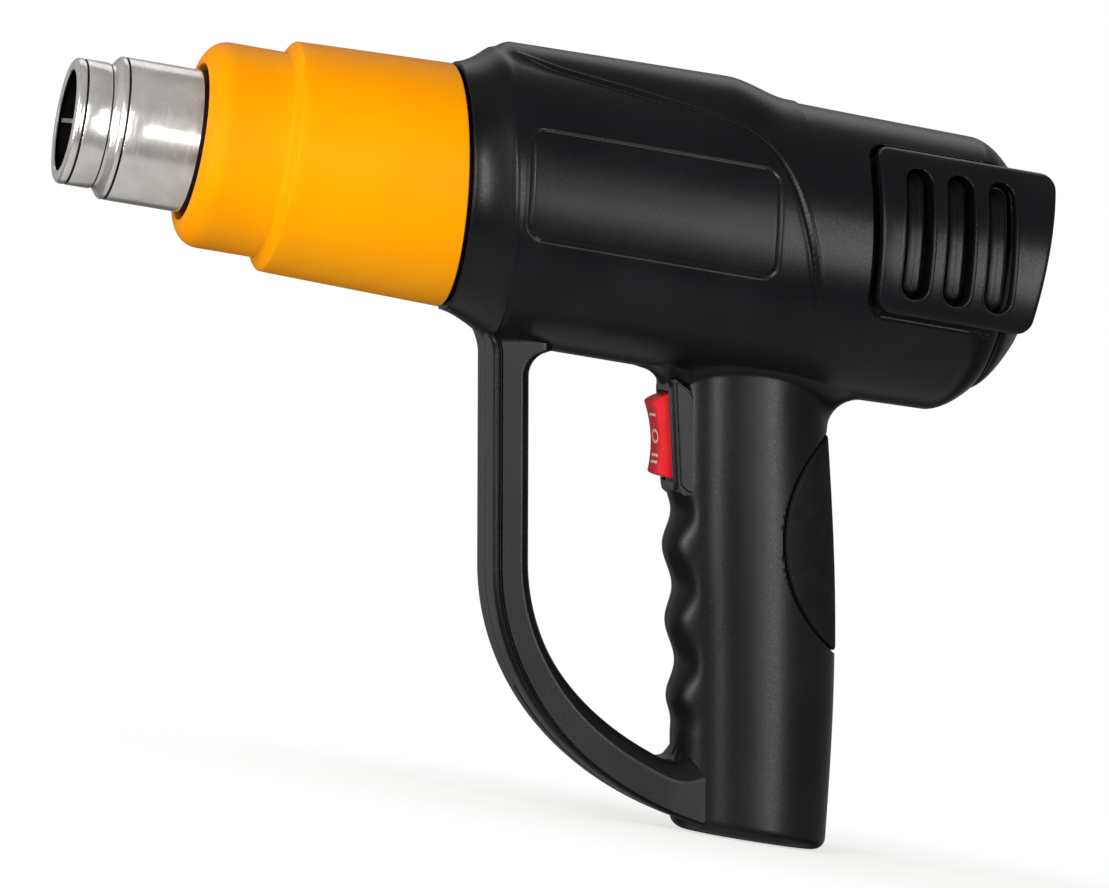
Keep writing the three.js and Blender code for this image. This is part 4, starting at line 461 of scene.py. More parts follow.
def handle_half():
    """Left half of the handle's skin, from the gland's hole over the foot to the fillet into the barrel."""
    turn = np.concatenate([[0, 0.012, 0.04], np.linspace(0.07, math.pi - 0.07, 150),
                           [math.pi - 0.04, math.pi - 0.012, math.pi]])
    base = handle_point(np.full_like(turn, -45.0), turn)
    cosine, sine = np.cos(turn), np.sin(turn)
    reach = np.where(cosine > 0, HANDLE_REAR, HANDLE_FRONT)
    power = 2 * (SQUARENESS - 1) / SQUARENESS
    out = np.stack([np.sign(cosine) * np.abs(cosine) ** power / reach,
                    -np.abs(sine) ** power / HANDLE_HALF], -1)
    out /= np.linalg.norm(out, axis=1)[:, None]
    round_r = SIDE_FILLET + (REAR_FILLET - SIDE_FILLET) * np.clip(cosine, 0, 1) ** 2
    round_r += (FRONT_FILLET - SIDE_FILLET) * np.clip(-cosine, 0, 1) ** 2

    def underside(off):
        y = np.clip(base[:, 1] + off * out[:, 1], -36.5, 0)
        return barrel_underside(base[:, 0] + off * out[:, 0], y)

    slope = (underside(round_r * 0.8) - underside(round_r * 0.2)) / (round_r * 0.6)
    start = underside(round_r * 0.5) - slope * round_r * 0.5
    wall_top = start + slope * round_r - round_r * np.sqrt(1 + slope ** 2)
    rows = []
    gland_s = HANDLE_S - BUTT * HANDLE_RAKE
    for inset, rise in ((7.3, 3.2), (7.3, 0.25), (7.5, 0.0)):
        level = np.full_like(turn, BUTT + rise)
        rows.append(np.stack([gland_s + inset * cosine, -inset * sine, level], -1))
    for a in np.linspace(0, math.pi / 2, 8):
        level = np.full_like(turn, BUTT + FOOT_R - FOOT_R * math.cos(a))
        rows.append(handle_point(level, turn, FOOT_R * math.sin(a) - FOOT_R))
    for share in np.linspace(0, 1, 250):
        rows.append(handle_point(BUTT + WALL_LOW + (wall_top - BUTT - WALL_LOW) * share, turn))
    end = np.arctan2(1, -slope)
    for share in np.linspace(0, 1, 14)[1:]:
        angle = math.pi + (end - math.pi) * share
        off = round_r + round_r * np.cos(angle)
        z = wall_top + round_r * np.sin(angle)
        ring = handle_point(z, turn)
        ring[:, :2] += out * off[:, None]
        rows.append(ring)
    last = rows[-1].copy()
    last[:, :2] += out * 0.6
    last[:, 2] = barrel_underside(last[:, 0], last[:, 1]) + 0.5
    rows.append(last)
    rows = np.stack(rows)
    inside = INLAY_R - np.hypot(rows[..., 0] - INLAY_S, rows[..., 2] - INLAY_Z)
    sink = INLAY_SINK * smooth_step(inside, -0.25, 0.25)
    rows[..., :2] -= out * sink[..., None]
    seam = SEAM_DEPTH * smooth_step(np.abs(rows[..., 1]), 0.32, 0.0) * (rows[..., 2] > BUTT + 1)
    middle = HANDLE_S - rows[..., 2] * HANDLE_RAKE
    rows[..., 0] -= seam * np.sign(rows[..., 0] - middle)
    return rows


GUARD_DEPTH, GUARD_HALF = 9.6, 11.5
GUARD_FRONT_ROOT, GUARD_REAR_ROOT = -30.1, -40.85
GUARD_FRONT_FILLET, GUARD_REAR_FILLET, GUARD_FOOT_FILLET = 11.6, 6.4, 6.5


def guard_path():
    """Places along the guard, each with its direction, depth and widening."""
    rake, foot = math.atan(HANDLE_RAKE), math.radians(9.0)
    at = lambda z: np.array([LIP_S + 15.3 - z * HANDLE_RAKE, z])
    knee, end = at(-96.4), np.array([LIP_S + 95.4, -151.9])
    down, back = np.array([math.sin(rake), -math.cos(rake)]), np.array([math.cos(foot), -math.sin(foot)])
    levels = np.concatenate([[-28.4], np.linspace(GUARD_FRONT_ROOT, -47.4, 44),
                             np.linspace(-48.4, -95.4, 36)])
    path = [(at(z), down, GUARD_DEPTH, 1 - 0.4 * float(smooth_step(z, -38.5, -31))) for z in levels]
    a, b, c, d = knee, knee + down * 27.5, end - back * 37.9, end
    for t in np.concatenate([np.linspace(0, 0.7, 40), np.linspace(0.7, 1, 60)[1:]]):
        point = (1 - t) ** 3 * a + 3 * t * (1 - t) ** 2 * b + 3 * t * t * (1 - t) * c + t ** 3 * d
        way = 3 * (1 - t) ** 2 * (b - a) + 6 * t * (1 - t) * (c - b) + 3 * t * t * (d - c)
        widen = 1 + 0.13 * float(smooth_step(t, 0.62, 0.92))
        path.append((point, way / np.linalg.norm(way), GUARD_DEPTH + 1.9 * t, widen))
    return path


def guard_half():
    """Left half of the hand guard: flat in front and at the side, twin edge grooves, sloped inside."""
    def hollow(d, r):
        return r - math.sqrt(r * r - min(max(r - d, 0), r) ** 2)

    def rise(d, y, lean):
        """Fillet into the leaning handle: a full round in the middle, an easy sweep at the side."""
        side, up = float(smooth_step(y, 1, 10.5)), 0.0
        for _ in range(6):
            up = hollow(d - up * lean, GUARD_FOOT_FILLET)
        return side * max(8 - max(d, -2), 0) ** 2 / 16 + (1 - side) * up

    def groove(at):
        return [(at - 0.17, 11.15), (at, 11.0), (at + 0.17, 11.15)]

    front = [(0.25, 0.0), (0.0, 0.3), (0.0, 4.0), (0.0, 8.0), (0.0, 10.35), (0.1, 10.85), (0.35, 11.25),
             (0.8, 11.45), (1.3, GUARD_HALF), *groove(1.55), (1.8, 11.42), (1.9, 11.42), *groove(2.15),
             (2.4, GUARD_HALF)]
    rear = [(1.0, GUARD_HALF), (0.93, 11.46), (0.85, 11.3), (0.5, 10.6), (0.25, 10.0), (0.08, 9.3),
            (0.0, 8.6), (0.0, 6.4), (0.0, 4.2), (0.0, 2.2), (0.0, 0.3), (0.1, 0.0)]
    rows = []
    for point, way, depth, widen in guard_path():
        across = np.array([-way[1], way[0]])
        foot = float(smooth_step(-point[1], 118, 150))
        inner = point + across * (depth / 2 + 1.2 * foot)
        crown, tuck = 2.3 + 1.9 * foot, 1 - 0.5 * foot

        def behind(y):
            """Reach of the inside, with the fillets into the barrel and into the handle."""
            reach = depth / 2 + 0.3 + 1.2 * foot + hollow(GUARD_REAR_ROOT - point[1], GUARD_REAR_FILLET)
            if point[1] >= -120:
                return reach
            rounded = (1 - (y * widen / HANDLE_HALF) ** SQUARENESS) ** (1 / SQUARENESS)
            wall = HANDLE_S - inner[1] * HANDLE_RAKE - float(handle_front(inner[1])) * rounded
            return reach + rise(wall - inner[0], y, across[0] + across[1] * HANDLE_RAKE)

        ahead = -depth / 2 - hollow(GUARD_FRONT_ROOT - point[1], GUARD_FRONT_FILLET)
        side = np.linspace(ahead + 2.4 * tuck, behind(GUARD_HALF) - crown, 12)[1:-1]
        ring = [(ahead + d * tuck, y) for d, y in front] + [(d, GUARD_HALF) for d in side]
        ring += [(behind(y) - crown * d, y) for d, y in rear]
        rows.append([(*(point + across * a), -y * widen) for a, y in ring])
    return np.array(rows)[..., [0, 2, 1]]


def join_grids(name, grids, flip):
    """One piece from several grids of points, each with its own turn of the faces."""
    points, faces, count = [], [], 0
    for grid, turned in grids:
        rows, across = grid.shape[:2]
        points.append(grid.reshape(-1, 3))
        faces += [[count + k for k in face] for face in grid_faces(rows, across, flip=turned != flip)]
        count += rows * across
    return new_piece(name, np.concatenate(points), faces, BLACK, sharp=38)


SWITCH_TILT = math.radians(-12.5)
SWITCH_AT = np.array([HANDLE_S + 56 * HANDLE_RAKE - 22.6, 0.0, -56.0])


def from_switch(points):
    """Switch coordinates, X into the handle and Z along the rocker, to tool coordinates."""
    x, y, z = np.moveaxis(np.asarray(points, float), -1, 0)
    c, s = math.cos(SWITCH_TILT), math.sin(SWITCH_TILT)
    return np.stack([x * c + z * s, y, z * c - x * s], -1) + SWITCH_AT


halves = []
skins = [(barrel_half(), False), (handle_half(), True), (guard_half(), True)]
for name, mirror in (("housing_left", 1), ("housing_right", -1)):
    parts = [(skin * [1, mirror, 1], turned) for skin, turned in skins]
    shell = join_grids(name + "_shell", parts, mirror < 0)
    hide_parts(name)
    halves.append(shell)


# Shroud, nozzle and heater
SHROUD_S, SHROUD_NOSE_R, SHROUD_SMALL_R = 34.1, 6.2, 27.5


def front_shroud():
    """The stepped sleeve, open round the hot tube, that leans into the collar on a seat painted black as
    shade in the gap under the lip.
    """
    low_r = SHROUD_SMALL_R - SHROUD_NOSE_R
    nose = [(SHROUD_S + SHROUD_NOSE_R * (1 - math.cos(a)), low_r + SHROUD_NOSE_R * math.sin(a))
            for a in np.linspace(0.1, math.pi / 2, 16)]
    step = [(55.2 + 2.8 * t, SHROUD_SMALL_R + 3.3 * float(smooth_step(t, 0, 1)))
            for t in np.linspace(0, 1, 12)]
    profile = [(52, 25.3), (39.5, 24.9), (37.0, 21.6), (36.5, 20.8), (34.8, 20.8), (34.35, 20.9),
               (SHROUD_S, 21.1), (SHROUD_S, low_r), *nose, (44, SHROUD_SMALL_R), (50, SHROUD_SMALL_R), *step,
               (60, 30.9), (75, 31.35), (90, 31.78), (103.0, 32.16), (103.35, 32.09), (103.55, 31.85),
               (103.6, 31.5), (103.6, 29.8), (110.5, 29.8)]
    turn = np.linspace(0, 2 * math.pi, 160, endpoint=False)
    rows = []
    for s, r in profile:
        z = r * np.sin(turn)
        rows.append(np.stack([s - z * LIP_RAKE * np.clip((s - 60) / 40, 0, 1), -r * np.cos(turn), z], -1))
    sleeve = grid_piece("front_shroud_sleeve", rows, AMBER, sharp=40, loop_columns=True, flip=True)
    # Painted shade: the seat's wall and floor inside the collar gap are coloured black.
    sleeve.data.materials.append(BLACK)
    for face in sleeve.data.polygons[-2 * len(turn):]:
        face.material_index = 1
    return sleeve


MOUTH_R, TUBE_R, STEEL_END = 16.8, 19.05, 33.3
CREASES = (2.6, 9.5, 13.4)


def crease(s, r):
    """A line rolled into the tube."""
    return [(s - 0.45, r), (s - 0.3, r - 0.08), (s - 0.15, r - 0.32), (s + 0.15, r - 0.32),
            (s + 0.3, r - 0.08), (s + 0.45, r)]


def nozzle_tube():
    """The tube with its rolled mouth, creases and shoulder, heat-scaled inside, with painted shade in its
    creases and where the shroud covers it.
    """
    edge = [(1.5 - 1.5 * math.sin(a), 15.3 + 1.5 * math.cos(a)) for a in np.linspace(math.pi / 2, 0, 9)]
    roll = [(0.75, 14.5), (0.8, 13.9), (0.62, 13.55), (0.35, 13.5), (0.1, 13.65), (0.0, 14.0), (0.0, 14.6)]
    shoulder = [(9.85 + 2.75 * t, 16.5 + 2.55 * float(smooth_step(t, 0, 1))) for t in np.linspace(0, 1, 12)]
    first, second, third = CREASES
    profile = [(114.1, 18.25), (13.2, 18.25), (10.7, 16.0), (2.2, 16.0), (1.0, 15.2), *roll, *edge,
               *crease(first, MOUTH_R), (5, MOUTH_R), *crease(second, MOUTH_R)[:4], *shoulder,
               *crease(third, TUBE_R), (20, TUBE_R), (STEEL_END, TUBE_R), (70, TUBE_R), (113.1, TUBE_R),
               (113.1, 26), (114.1, 26), (114.1, 18.25)]
    tube = outward(revolved("nozzle_tube_drawn", profile, STEEL, sides=160, sharp=40))
    tube.data.materials.append(SCALE_AND_SHADE)
    for face in tube.data.polygons:
        at = face.center / MM - Vector((-TOOL_LENGTH / 2, 0, AXIS_HEIGHT))
        inside = at.x > 0.9 and face.normal.y * at.y + face.normal.z * at.z < 0
        # Painted shade: the crease faces and the steel under the shroud take the dark scale, as if in shadow.
        painted_crease_shade = any(abs(at.x - s) < 0.24 for s in CREASES)
        face.material_index = int(inside or painted_crease_shade or at.x > STEEL_END)
    return tube


def heater_tip():
    """Front edge of the level mica board, notched where its wire is held, just inside the mouth."""
    half = [(1.3, 0), (1.3, 3.6), (1.9, 4.0), (1.9, 5.2), (1.3, 5.6), (1.3, 13.2), (1.7, 14.2), (2.6, 14.6),
            (4.9, 14.6)]
    outline = half + [(s, -y) for s, y in half[:0:-1]]
    tip = prism("heater_plate_level_tip", outline, -0.55, 0.55, MICA, to_tool=lambda p: p[:, [0, 2, 1]])


# Vent covers and rear cap
VENT = dict(left=214.0, right=260.2, low=-14.2, high=29.4, corner=4.0)
COVER_PROUD, COVER_SUNK = 2.6, 1.6
SLOT_HALF, SLOT_HALF_HEIGHT, SLOT_MIDDLE_Z = 3.7, 17.25, 7.6
SLOT_PLACES = [VENT["left"] + 10.2 + 11.4 * k for k in range(3)]
VENT_REAR_RAKE, SLOT_RAKE = math.tan(math.radians(-4.2)), math.tan(math.radians(3.7))
# Loops round a slot: how far each stands out from the edge, and how deep below the cover's face it lies.
RIM_LOOPS = [(1.0, 0.02), (0.8, -0.1), (0.55, -0.18), (0.3, -0.12), (0.1, 0.1), (0, 0.4), (0, 4.0)]
LOUVRE_LOOPS = [(-1.3, 7.6), (-1.3, 5.7), (-1.38, 5.4), (-1.6, 5.15), (-1.95, 5.05), (-2.7, 5.05),
                (-3.65, 5.05)]


def slot_outline(middle, grow):
    """A leaning slot with round ends, in S and Z."""
    half, reach = SLOT_HALF + grow, SLOT_HALF_HEIGHT + grow
    points = []
    for turn in (0.0, math.pi):
        z0 = (reach - half) * math.cos(turn)
        arc = np.linspace(0, math.pi, 14) + turn
        points += [(half * math.cos(a), z0 + half * math.sin(a)) for a in arc]
        points += [(-half * math.cos(turn), z) for z in np.linspace(z0, -z0, 20)[1:-1]]
    return [(middle + s - z * SLOT_RAKE, SLOT_MIDDLE_Z + z) for s, z in points]


def slot_loops(name, loops, side):
    """A skin through loops round each slot of a cover."""
    points, faces = [], []
    for middle in SLOT_PLACES:
        rows = []
        for grow, deep in loops:
            s, z = np.array(slot_outline(middle, grow)).T
            rows.append(np.stack([s, side * (side_of_body(z) + COVER_PROUD - deep), z], -1))
        rows = np.array(rows)
        skin = grid_faces(*rows.shape[:2], loop_columns=True)
        faces += [[len(points) + v for v in f] for f in skin]
        points += list(rows.reshape(-1, 3))
    piece = new_piece(name, points, faces, BLACK, sharp=40)


def vent_cover(side):
    """A plate with a rounded rim, proud of its pocket, with round-ended slots over louvre bars."""
    low, high, corner = VENT["low"], VENT["high"], VENT["corner"]
    arc = corner * (1 - np.cos(np.linspace(0, math.pi / 2, 9)))
    straight = np.linspace(low + corner, high - corner, 40)[1:-1]
    middle = (low + high) / 2
    lip = np.array([0, 0.06, 0.22, 0.48, 0.8, 1.1])
    rim = lip[-1]
    rows = []
    for z in np.concatenate([low + arc, straight, high - arc[::-1]]):
        into = max(low + corner - z, z - (high - corner), 0)
        inset = corner - math.sqrt(max(corner ** 2 - into ** 2, 0))
        left = VENT["left"] - (z - middle) * RAKE + inset
        right = VENT["right"] - (z - middle) * VENT_REAR_RAKE - inset
        half = float(side_of_body(z))
        plain = np.linspace(left + rim, right - rim, 16)[1:-1]
        across = np.concatenate([left + lip, plain, right - lip[::-1]])
        near = np.minimum(np.minimum(across - left, right - across), min(z - low, high - z))
        drop = rim - np.sqrt(rim ** 2 - np.maximum(rim - near, 0) ** 2)
        face = [(s, side * (half + COVER_PROUD - d), z) for s, d in zip(across, drop)]
        rows.append(face + [(s, side * (half - COVER_SUNK), z) for s in across[::-1]])
    rows = np.array(rows)
    count = rows.shape[1]
    ends = [list(range(count))[::-1], [(len(rows) - 1) * count + k for k in range(count)]]
    faces = grid_faces(len(rows), count, loop_columns=True) + ends
    name = "vent_cover_left" if side < 0 else "vent_cover_right"
    cover = outward(new_piece(name + "_plate", rows.reshape(-1, 3), faces, BLACK, sharp=30))
    near, far = reach_out(side, 5, 60)
    carve(cover, *[prism("slot", slot_outline(at, 0.6), near, far, BLACK) for at in SLOT_PLACES])
    dress(cover, BLACK, sharp=30)
    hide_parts(name)
    slot_loops(name + "_slot_rims", RIM_LOOPS, side)
    slot_loops(name + "_louvre_bars", LOUVRE_LOOPS, side)


GRILLE_R, GRILLE_PITCH, GRILLE_HALF = 17.5, 5.0, 1.5


def rear_cap():
    """A domed cap with level air slots in its flat end."""
    end, seat = TOOL_LENGTH, BODY_END_S + 0.3
    dome = [(seat + (end - seat) * t, 30.5 - 10.5 * t ** 1.5) for t in np.linspace(0, 1, 16)]
    profile = [(end - 2.3, 0.0), (end - 2.3, 17.7), (seat, 26.4), (seat - 5.3, 26.4), (seat - 5.3, 28.7),
               (seat - 0.2, 28.7), (seat, 29.2), *dome, (end, 19.2), (end, 0.0)]
    cap = outward(revolved("rear_cap_grille", profile, BLACK, sides=120))
    slots = []
    for k in range(-3, 4):
        z = k * GRILLE_PITCH
        half = math.sqrt(GRILLE_R ** 2 - (abs(z) + GRILLE_HALF) ** 2) - GRILLE_HALF
        outline = [(y + GRILLE_HALF * math.cos(a), z + GRILLE_HALF * math.sin(a))
                   for y, turn in ((half, -math.pi / 2), (-half, math.pi / 2))
                   for a in np.linspace(turn, turn + math.pi, 9)]
        slots.append(prism("slot", outline, end - 5, end + 2, BLACK, to_tool=lambda p: p[:, [1, 0, 2]]))
    carve(cap, *slots)
    dress(cap, BLACK, sharp=30)
    soften(cap, 0.4, 2, 42)
    return cap


# Switch

def rounded_loop(x, half_y, half_z, corner):
    """A four-sided loop with round corners, in switch coordinates."""
    ring = []
    for k, (sy, sz) in enumerate(((1, 1), (-1, 1), (-1, -1), (1, -1))):
        for a in np.linspace(0, math.pi / 2, 7) + k * math.pi / 2:
            y = sy * (half_y - corner) + corner * math.cos(a)
            ring.append((x, y, sz * (half_z - corner) + corner * math.sin(a)))
    return ring


ROCKER_HALF, ROCKER_ENDS, ROCKER_PIVOT, ROCKER_RISE, ROCKER_CROWN = 6.4, 9.6, 1.6, 6.3, 1.4
MARK_HALF, MARK_THICK, MARK_LIFT = 3.5, 0.72, 0.05


def rocker_face(z):
    """Crowned face of the rocker along its length."""
    return ROCKER_PIVOT - ROCKER_RISE + ROCKER_CROWN * (1 - (z / ROCKER_ENDS) ** 2)


def switch_rocker():
    """The red paddle, round about its pivot, with the marks one, zero and two."""
    face = [(rocker_face(z), z) for z in np.linspace(ROCKER_ENDS, -ROCKER_ENDS, 25)]
    reach = math.hypot(ROCKER_RISE, ROCKER_ENDS)
    arc = np.linspace(math.atan2(ROCKER_ENDS, -ROCKER_RISE), 1.4, 10)[1:]
    upper = [(ROCKER_PIVOT + reach * math.cos(a), reach * math.sin(a)) for a in arc]
    outline = face + [(x, -z) for x, z in upper] + [(5.8, -5.1), (5.8, 5.1)] + upper[::-1]
    rocker = prism("switch_rocker_paddle", outline, -ROCKER_HALF, ROCKER_HALF, RED, "rocker", from_switch)
    soften(rocker, 0.6, 4, 35)
    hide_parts("switch_rocker")
    # Keeps a red glow off the satin black beside it.
    rocker.visible_glossy = False
    for name, z0 in (("one", 5.8), ("two_upper", -5.0), ("two_lower", -6.8)):
        heights = np.linspace(z0 - MARK_THICK / 2, z0 + MARK_THICK / 2, 4)
        outline = [(rocker_face(z) - MARK_LIFT, z) for z in heights]
        outline += [(rocker_face(z) + 0.2, z) for z in heights[::-1]]
        bar = prism("switch_mark_" + name, outline, -MARK_HALF, MARK_HALF, CREAM, "rocker", from_switch)
    turn = np.linspace(0, 2 * math.pi, 64, endpoint=False)
    rows = []
    for grow, lift in ((0, 0.15), (0, -MARK_LIFT), (-0.7, -MARK_LIFT), (-0.7, 0.15)):
        y, z = (MARK_HALF + grow) * np.cos(turn), (1.95 + grow) * np.sin(turn)
        rows.append(np.stack([rocker_face(z) + lift, y, z], -1))
    rows = from_switch(rows)
    zero = grid_piece("switch_mark_zero", rows, CREAM, "rocker", loop_rows=True, loop_columns=True)
    outward(zero)


def switch_frame():
    """A bezel with a rounded rim, open down to the floor of the switch."""
    loops = [(0.4, 8.3, 14.5, 2.2), (-0.35, 8.3, 14.5, 2.2), (-0.6, 8.2, 14.4, 2.1),
             (-0.7, 7.95, 14.1, 1.9), (-0.7, 7.2, 12.6, 1.0), (-0.58, 6.9, 12.2, 0.8),
             (-0.25, 6.75, 12.0, 0.7), (8.0, 6.7, 11.85, 0.6)]
    rows = from_switch([rounded_loop(*loop) for loop in loops])
    bezel = grid_piece("switch_body_frame", rows, NYLON, sharp=35, loop_columns=True)
    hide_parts("switch_body")
    outline = [(8.0, -12.3), (19, -12.3), (19, 12.3), (8.0, 12.3)]
    floor = prism("switch_body_floor", outline, -7.5, 7.5, NYLON, to_tool=from_switch)
    soften(floor, 0.4, 2)


def switch_block(side):
    """Half of the raised block that holds the switch, with a cheek plate on its side and a hood over it."""
    name = "switch_block_left" if side < 0 else "switch_block_right"
    outline = [(0, -14.6), (1.4, -16), (16, -16), (16, 4), (5.4, 11.4), (0.4, 15.7), (0, 15.3)]
    near, far = reach_out(side, 0.06, 10.4)
    made = prism(name, outline, near, far, BLACK, to_tool=from_switch)
    opening = [(-4, -13.5), (30, -13.5), (30, 13.5), (-4, 13.5)]
    carve(made, prism("hole", opening, -8.0, 8.0, BLACK, to_tool=from_switch))
    dress(made, BLACK)
    soften(made, 0.5)
    cheek = [(0.7, -12.9), (2.6, -14.9), (5.0, -15.2), (5.0, 10.6), (4.4, 11.6), (0.7, 14.8)]
    near, far = reach_out(side, 10.0, 10.95)
    plate = prism(name + "_cheek", cheek, near, far, BLACK, to_tool=from_switch)
    soften(plate, 0.35)
    curve = [(-9.6, 20.4), (-8.4, 19.4), (-6.6, 18.7), (-5, 18.1), (-3.8, 17.4), (-2.9, 16.6), (-2.3, 15.8),
             (-1.9, 15.0), (-1.6, 14.4), (-1.1, 13.9), (-0.4, 13.6), (0.4, 13.4)]
    y = np.linspace(0.06, 12.55, 26)
    back = 12 * (1 - np.sqrt(1 - (y / 12.6) ** 2))
    droop = (y / 12.5) ** 2
    lifts = np.linspace(1.7, 0, len(curve))
    rows = [np.stack([x + back, side * y, z + lift * droop], -1) for (x, z), lift in zip(curve, lifts)]
    hood = grid_piece(name + "_hood", from_switch(rows), BLACK, sharp=50)


# Soft pieces

def grip_inlay():
    """Soft rubber over the back of the handle, inside a round outline."""
    reach = INLAY_R - INLAY_GAP

    def outline_share(z):
        """Where the outline crosses the handle, from 0 at its middle to 1 at its rear."""
        edge = INLAY_S - np.sqrt(np.maximum(reach ** 2 - (z - INLAY_Z) ** 2, 0))
        return (edge - HANDLE_S + z * HANDLE_RAKE) / handle_rear(z)

    heights = np.linspace(INLAY_Z - reach, INLAY_Z + reach, 400)
    share = outline_share(heights)
    low, high = heights[(share < 0.999) & (share > 0)][[0, -1]]
    z = (low + high) / 2 - (high - low) / 2 * np.cos(np.linspace(0, math.pi, 90))
    widest = np.arccos(np.clip(outline_share(z), 0, 1) ** (SQUARENESS / 2))
    across = np.sin(np.linspace(-math.pi / 2, math.pi / 2, 90))
    rows = []
    for height, limit in zip(z, widest):
        turn = across * limit
        point = handle_point(np.full_like(turn, height), np.abs(turn))
        point[:, 1] *= -np.sign(turn)
        gap = np.minimum((1 - np.abs(across)) * limit * 22, min(height - low, high - height))
        rounded = np.sqrt(np.clip(1 - (1 - np.clip(gap / INLAY_ROUND, 0, 1)) ** 2, 0, 1))
        side = np.sign(point[:, 1]) * np.abs(np.sin(turn))
        way = np.stack([np.cos(turn), side, np.zeros_like(turn)], -1)
        rows.append(point + way * (INLAY_EDGE + INLAY_HEIGHT * rounded)[:, None])
    return grid_piece("grip_inlay_rubber", rows, RUBBER, sharp=50)


def cord_gland():
    """A flanged rubber bush in the foot of the handle."""
    centre = (HANDLE_S - BUTT * HANDLE_RAKE, 0, BUTT)
    profile = [(14.5, 3.6), (1.3, 3.6), (0.8, 3.75), (0.55, 4.2), (0.5, 5.2), (0.5, 6.3), (0.65, 6.8),
               (1.0, 7.0), (3.5, 7.0), (3.5, 9.2), (6.0, 9.2), (6.0, 6.0), (14.5, 6.0), (14.5, 3.6)]
    return outward(revolved("cord_gland_bush", profile, RUBBER, sides=64, axis="z", centre=centre))


REMADE = ((front_shroud, "front_shroud", "shroud_plastic"), (nozzle_tube, "nozzle_tube", "nozzle_steel"),
          (rear_cap, "rear_cap", "housing_plastic"), (grip_inlay, "grip_inlay", "soft_rubber"),
          (cord_gland, "cord_gland", "soft_rubber"))
for make, node, slot in REMADE:
    made = make()
    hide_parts(node)
for side in (-1, 1):
    vent_cover(side)
    switch_block(side)
switch_frame()
switch_rocker()
heater_tip()

# Screws
SCREW_SEAT = 5.97
WELL_R, WELL_CLEAR, WELL_SEARCH = 3.45, 4.1, 7.5


def screw_well(shell, x, z):
    """A round well in the right half, down to a screw's seat, at a place in metres."""
    made = bmesh.new()
    made.from_mesh(shell.data)
    skin = BVHTree.FromBMesh(made)
    outside = lambda v, reach: v.co.y > 0.006 and math.hypot(v.co.x - x, v.co.z - z) < reach * MM
    bmesh.ops.delete(made, geom=[v for v in made.verts if outside(v, WELL_CLEAR)], context="VERTS")
    torn = {v for e in made.edges if e.is_boundary for v in e.verts if outside(v, WELL_SEARCH)}
    loop = sorted(torn, key=lambda v: math.atan2(v.co.z - z, v.co.x - x))
    turns = [math.atan2(v.co.z - z, v.co.x - x) for v in loop]
    rings = [loop]
    on_skin = [(WELL_R + 0.35, 0.0), (WELL_R + 0.1, 0.1), (WELL_R, 0.35)]
    on_seat = [(WELL_R, None), (1.4, None)]
    for radius, sink in on_skin + on_seat:
        ring = []
        for a in turns:
            at = Vector((x + radius * MM * math.cos(a), 0.08, z + radius * MM * math.sin(a)))
            if sink is None:
                at.y = SCREW_SEAT * MM
            else:
                at.y = skin.ray_cast(at, Vector((0, -1, 0)))[0].y - sink * MM
            ring.append(made.verts.new(at))
        rings.append(ring)
    for outer, inner in zip(rings, rings[1:]):
        for k in range(len(loop)):
            n = (k + 1) % len(loop)
            made.faces.new((outer[k], inner[k], inner[n], outer[n]))
    made.to_mesh(shell.data)
    made.free()


def housing_screw(node, s, z):
    """A pan-head screw with a cross recess and a coarse thread for plastic."""
    thread = [(y, 1.5 if k % 2 else 1.1) for k, y in enumerate(np.arange(-5.3, 4.6, 0.6))]
    head = [(SCREW_SEAT, 2.8), (6.15, 3.0), (6.5, 3.0), (7.2, 2.8), (7.8, 2.3), (8.1, 1.6), (8.2, 0.8),
            (8.2, 0.0)]
    profile = [(-7.0, 0.0), (-6.9, 0.35), *thread, (4.9, 1.2), (SCREW_SEAT, 1.2), *head]
    screw = outward(revolved(node + "_pan_head", profile, ZINC, sides=32, axis="y", centre=(s, 0, z)))
    arm, half = 1.6, 0.42
    quarter = [(half, half), (half, arm), (-half, arm)]
    cross = [(s + a * c - b * d, z + a * d + b * c) for c, d in ((1, 0), (0, 1), (-1, 0), (0, -1))
             for a, b in quarter]
    carve(screw, prism("recess", cross, 6.9, 9.0, ZINC))
    dress(screw, ZINC)
    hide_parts(node)


for k in range(1, 8):
    low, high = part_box(f"housing_screw_{k}")
    middle = (low + high) / 2
    screw_well(halves[1], middle.x, middle.z)
    housing_screw(f"housing_screw_{k}", middle.x / MM + TOOL_LENGTH / 2, middle.z / MM - AXIS_HEIGHT)
dress(halves[1], BLACK, sharp=38)

# Inner pieces keep their solids
INNER = {"nozzle_insulator": CERAMIC, "mica_sleeve": MICA, "heater_plate": MICA, "heater_coil": WIRE,
         "heater_base": CERAMIC, "thermal_cutout": ZINC, "air_duct": GREY, "fan": GREY, "motor_mount": GREY,
         "motor_can": ZINC, "motor_magnet": FERRITE, "motor_shaft": ZINC, "motor_bush": BRASS,
         "armature": IRON, "commutator": COPPER, "brush": CARBON, "motor_end_cap": GREY,
         "rectifier_board": LAMINATE, "switch_terminal": BRASS}
for name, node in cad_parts.items():
    for start, material in INNER.items():
        if name.startswith(start):
            node.data.materials.clear()
            node.data.materials.append(material)

# Floor, light and air
FLOOR_R, FLOOR_SIDES, FLOOR_Z = 0.7, 96, -0.0004
floor_data = bpy.data.meshes.new("floor")
turns = np.linspace(0, 2 * math.pi, FLOOR_SIDES, endpoint=False)
ring = [(FLOOR_R * math.cos(a), FLOOR_R * math.sin(a), FLOOR_Z) for a in turns]
floor_data.from_pydata(ring, [], [list(range(FLOOR_SIDES))])
floor = bpy.data.objects.new("floor", floor_data)
bpy.context.scene.collection.objects.link(floor)
floor.visible_glossy = False
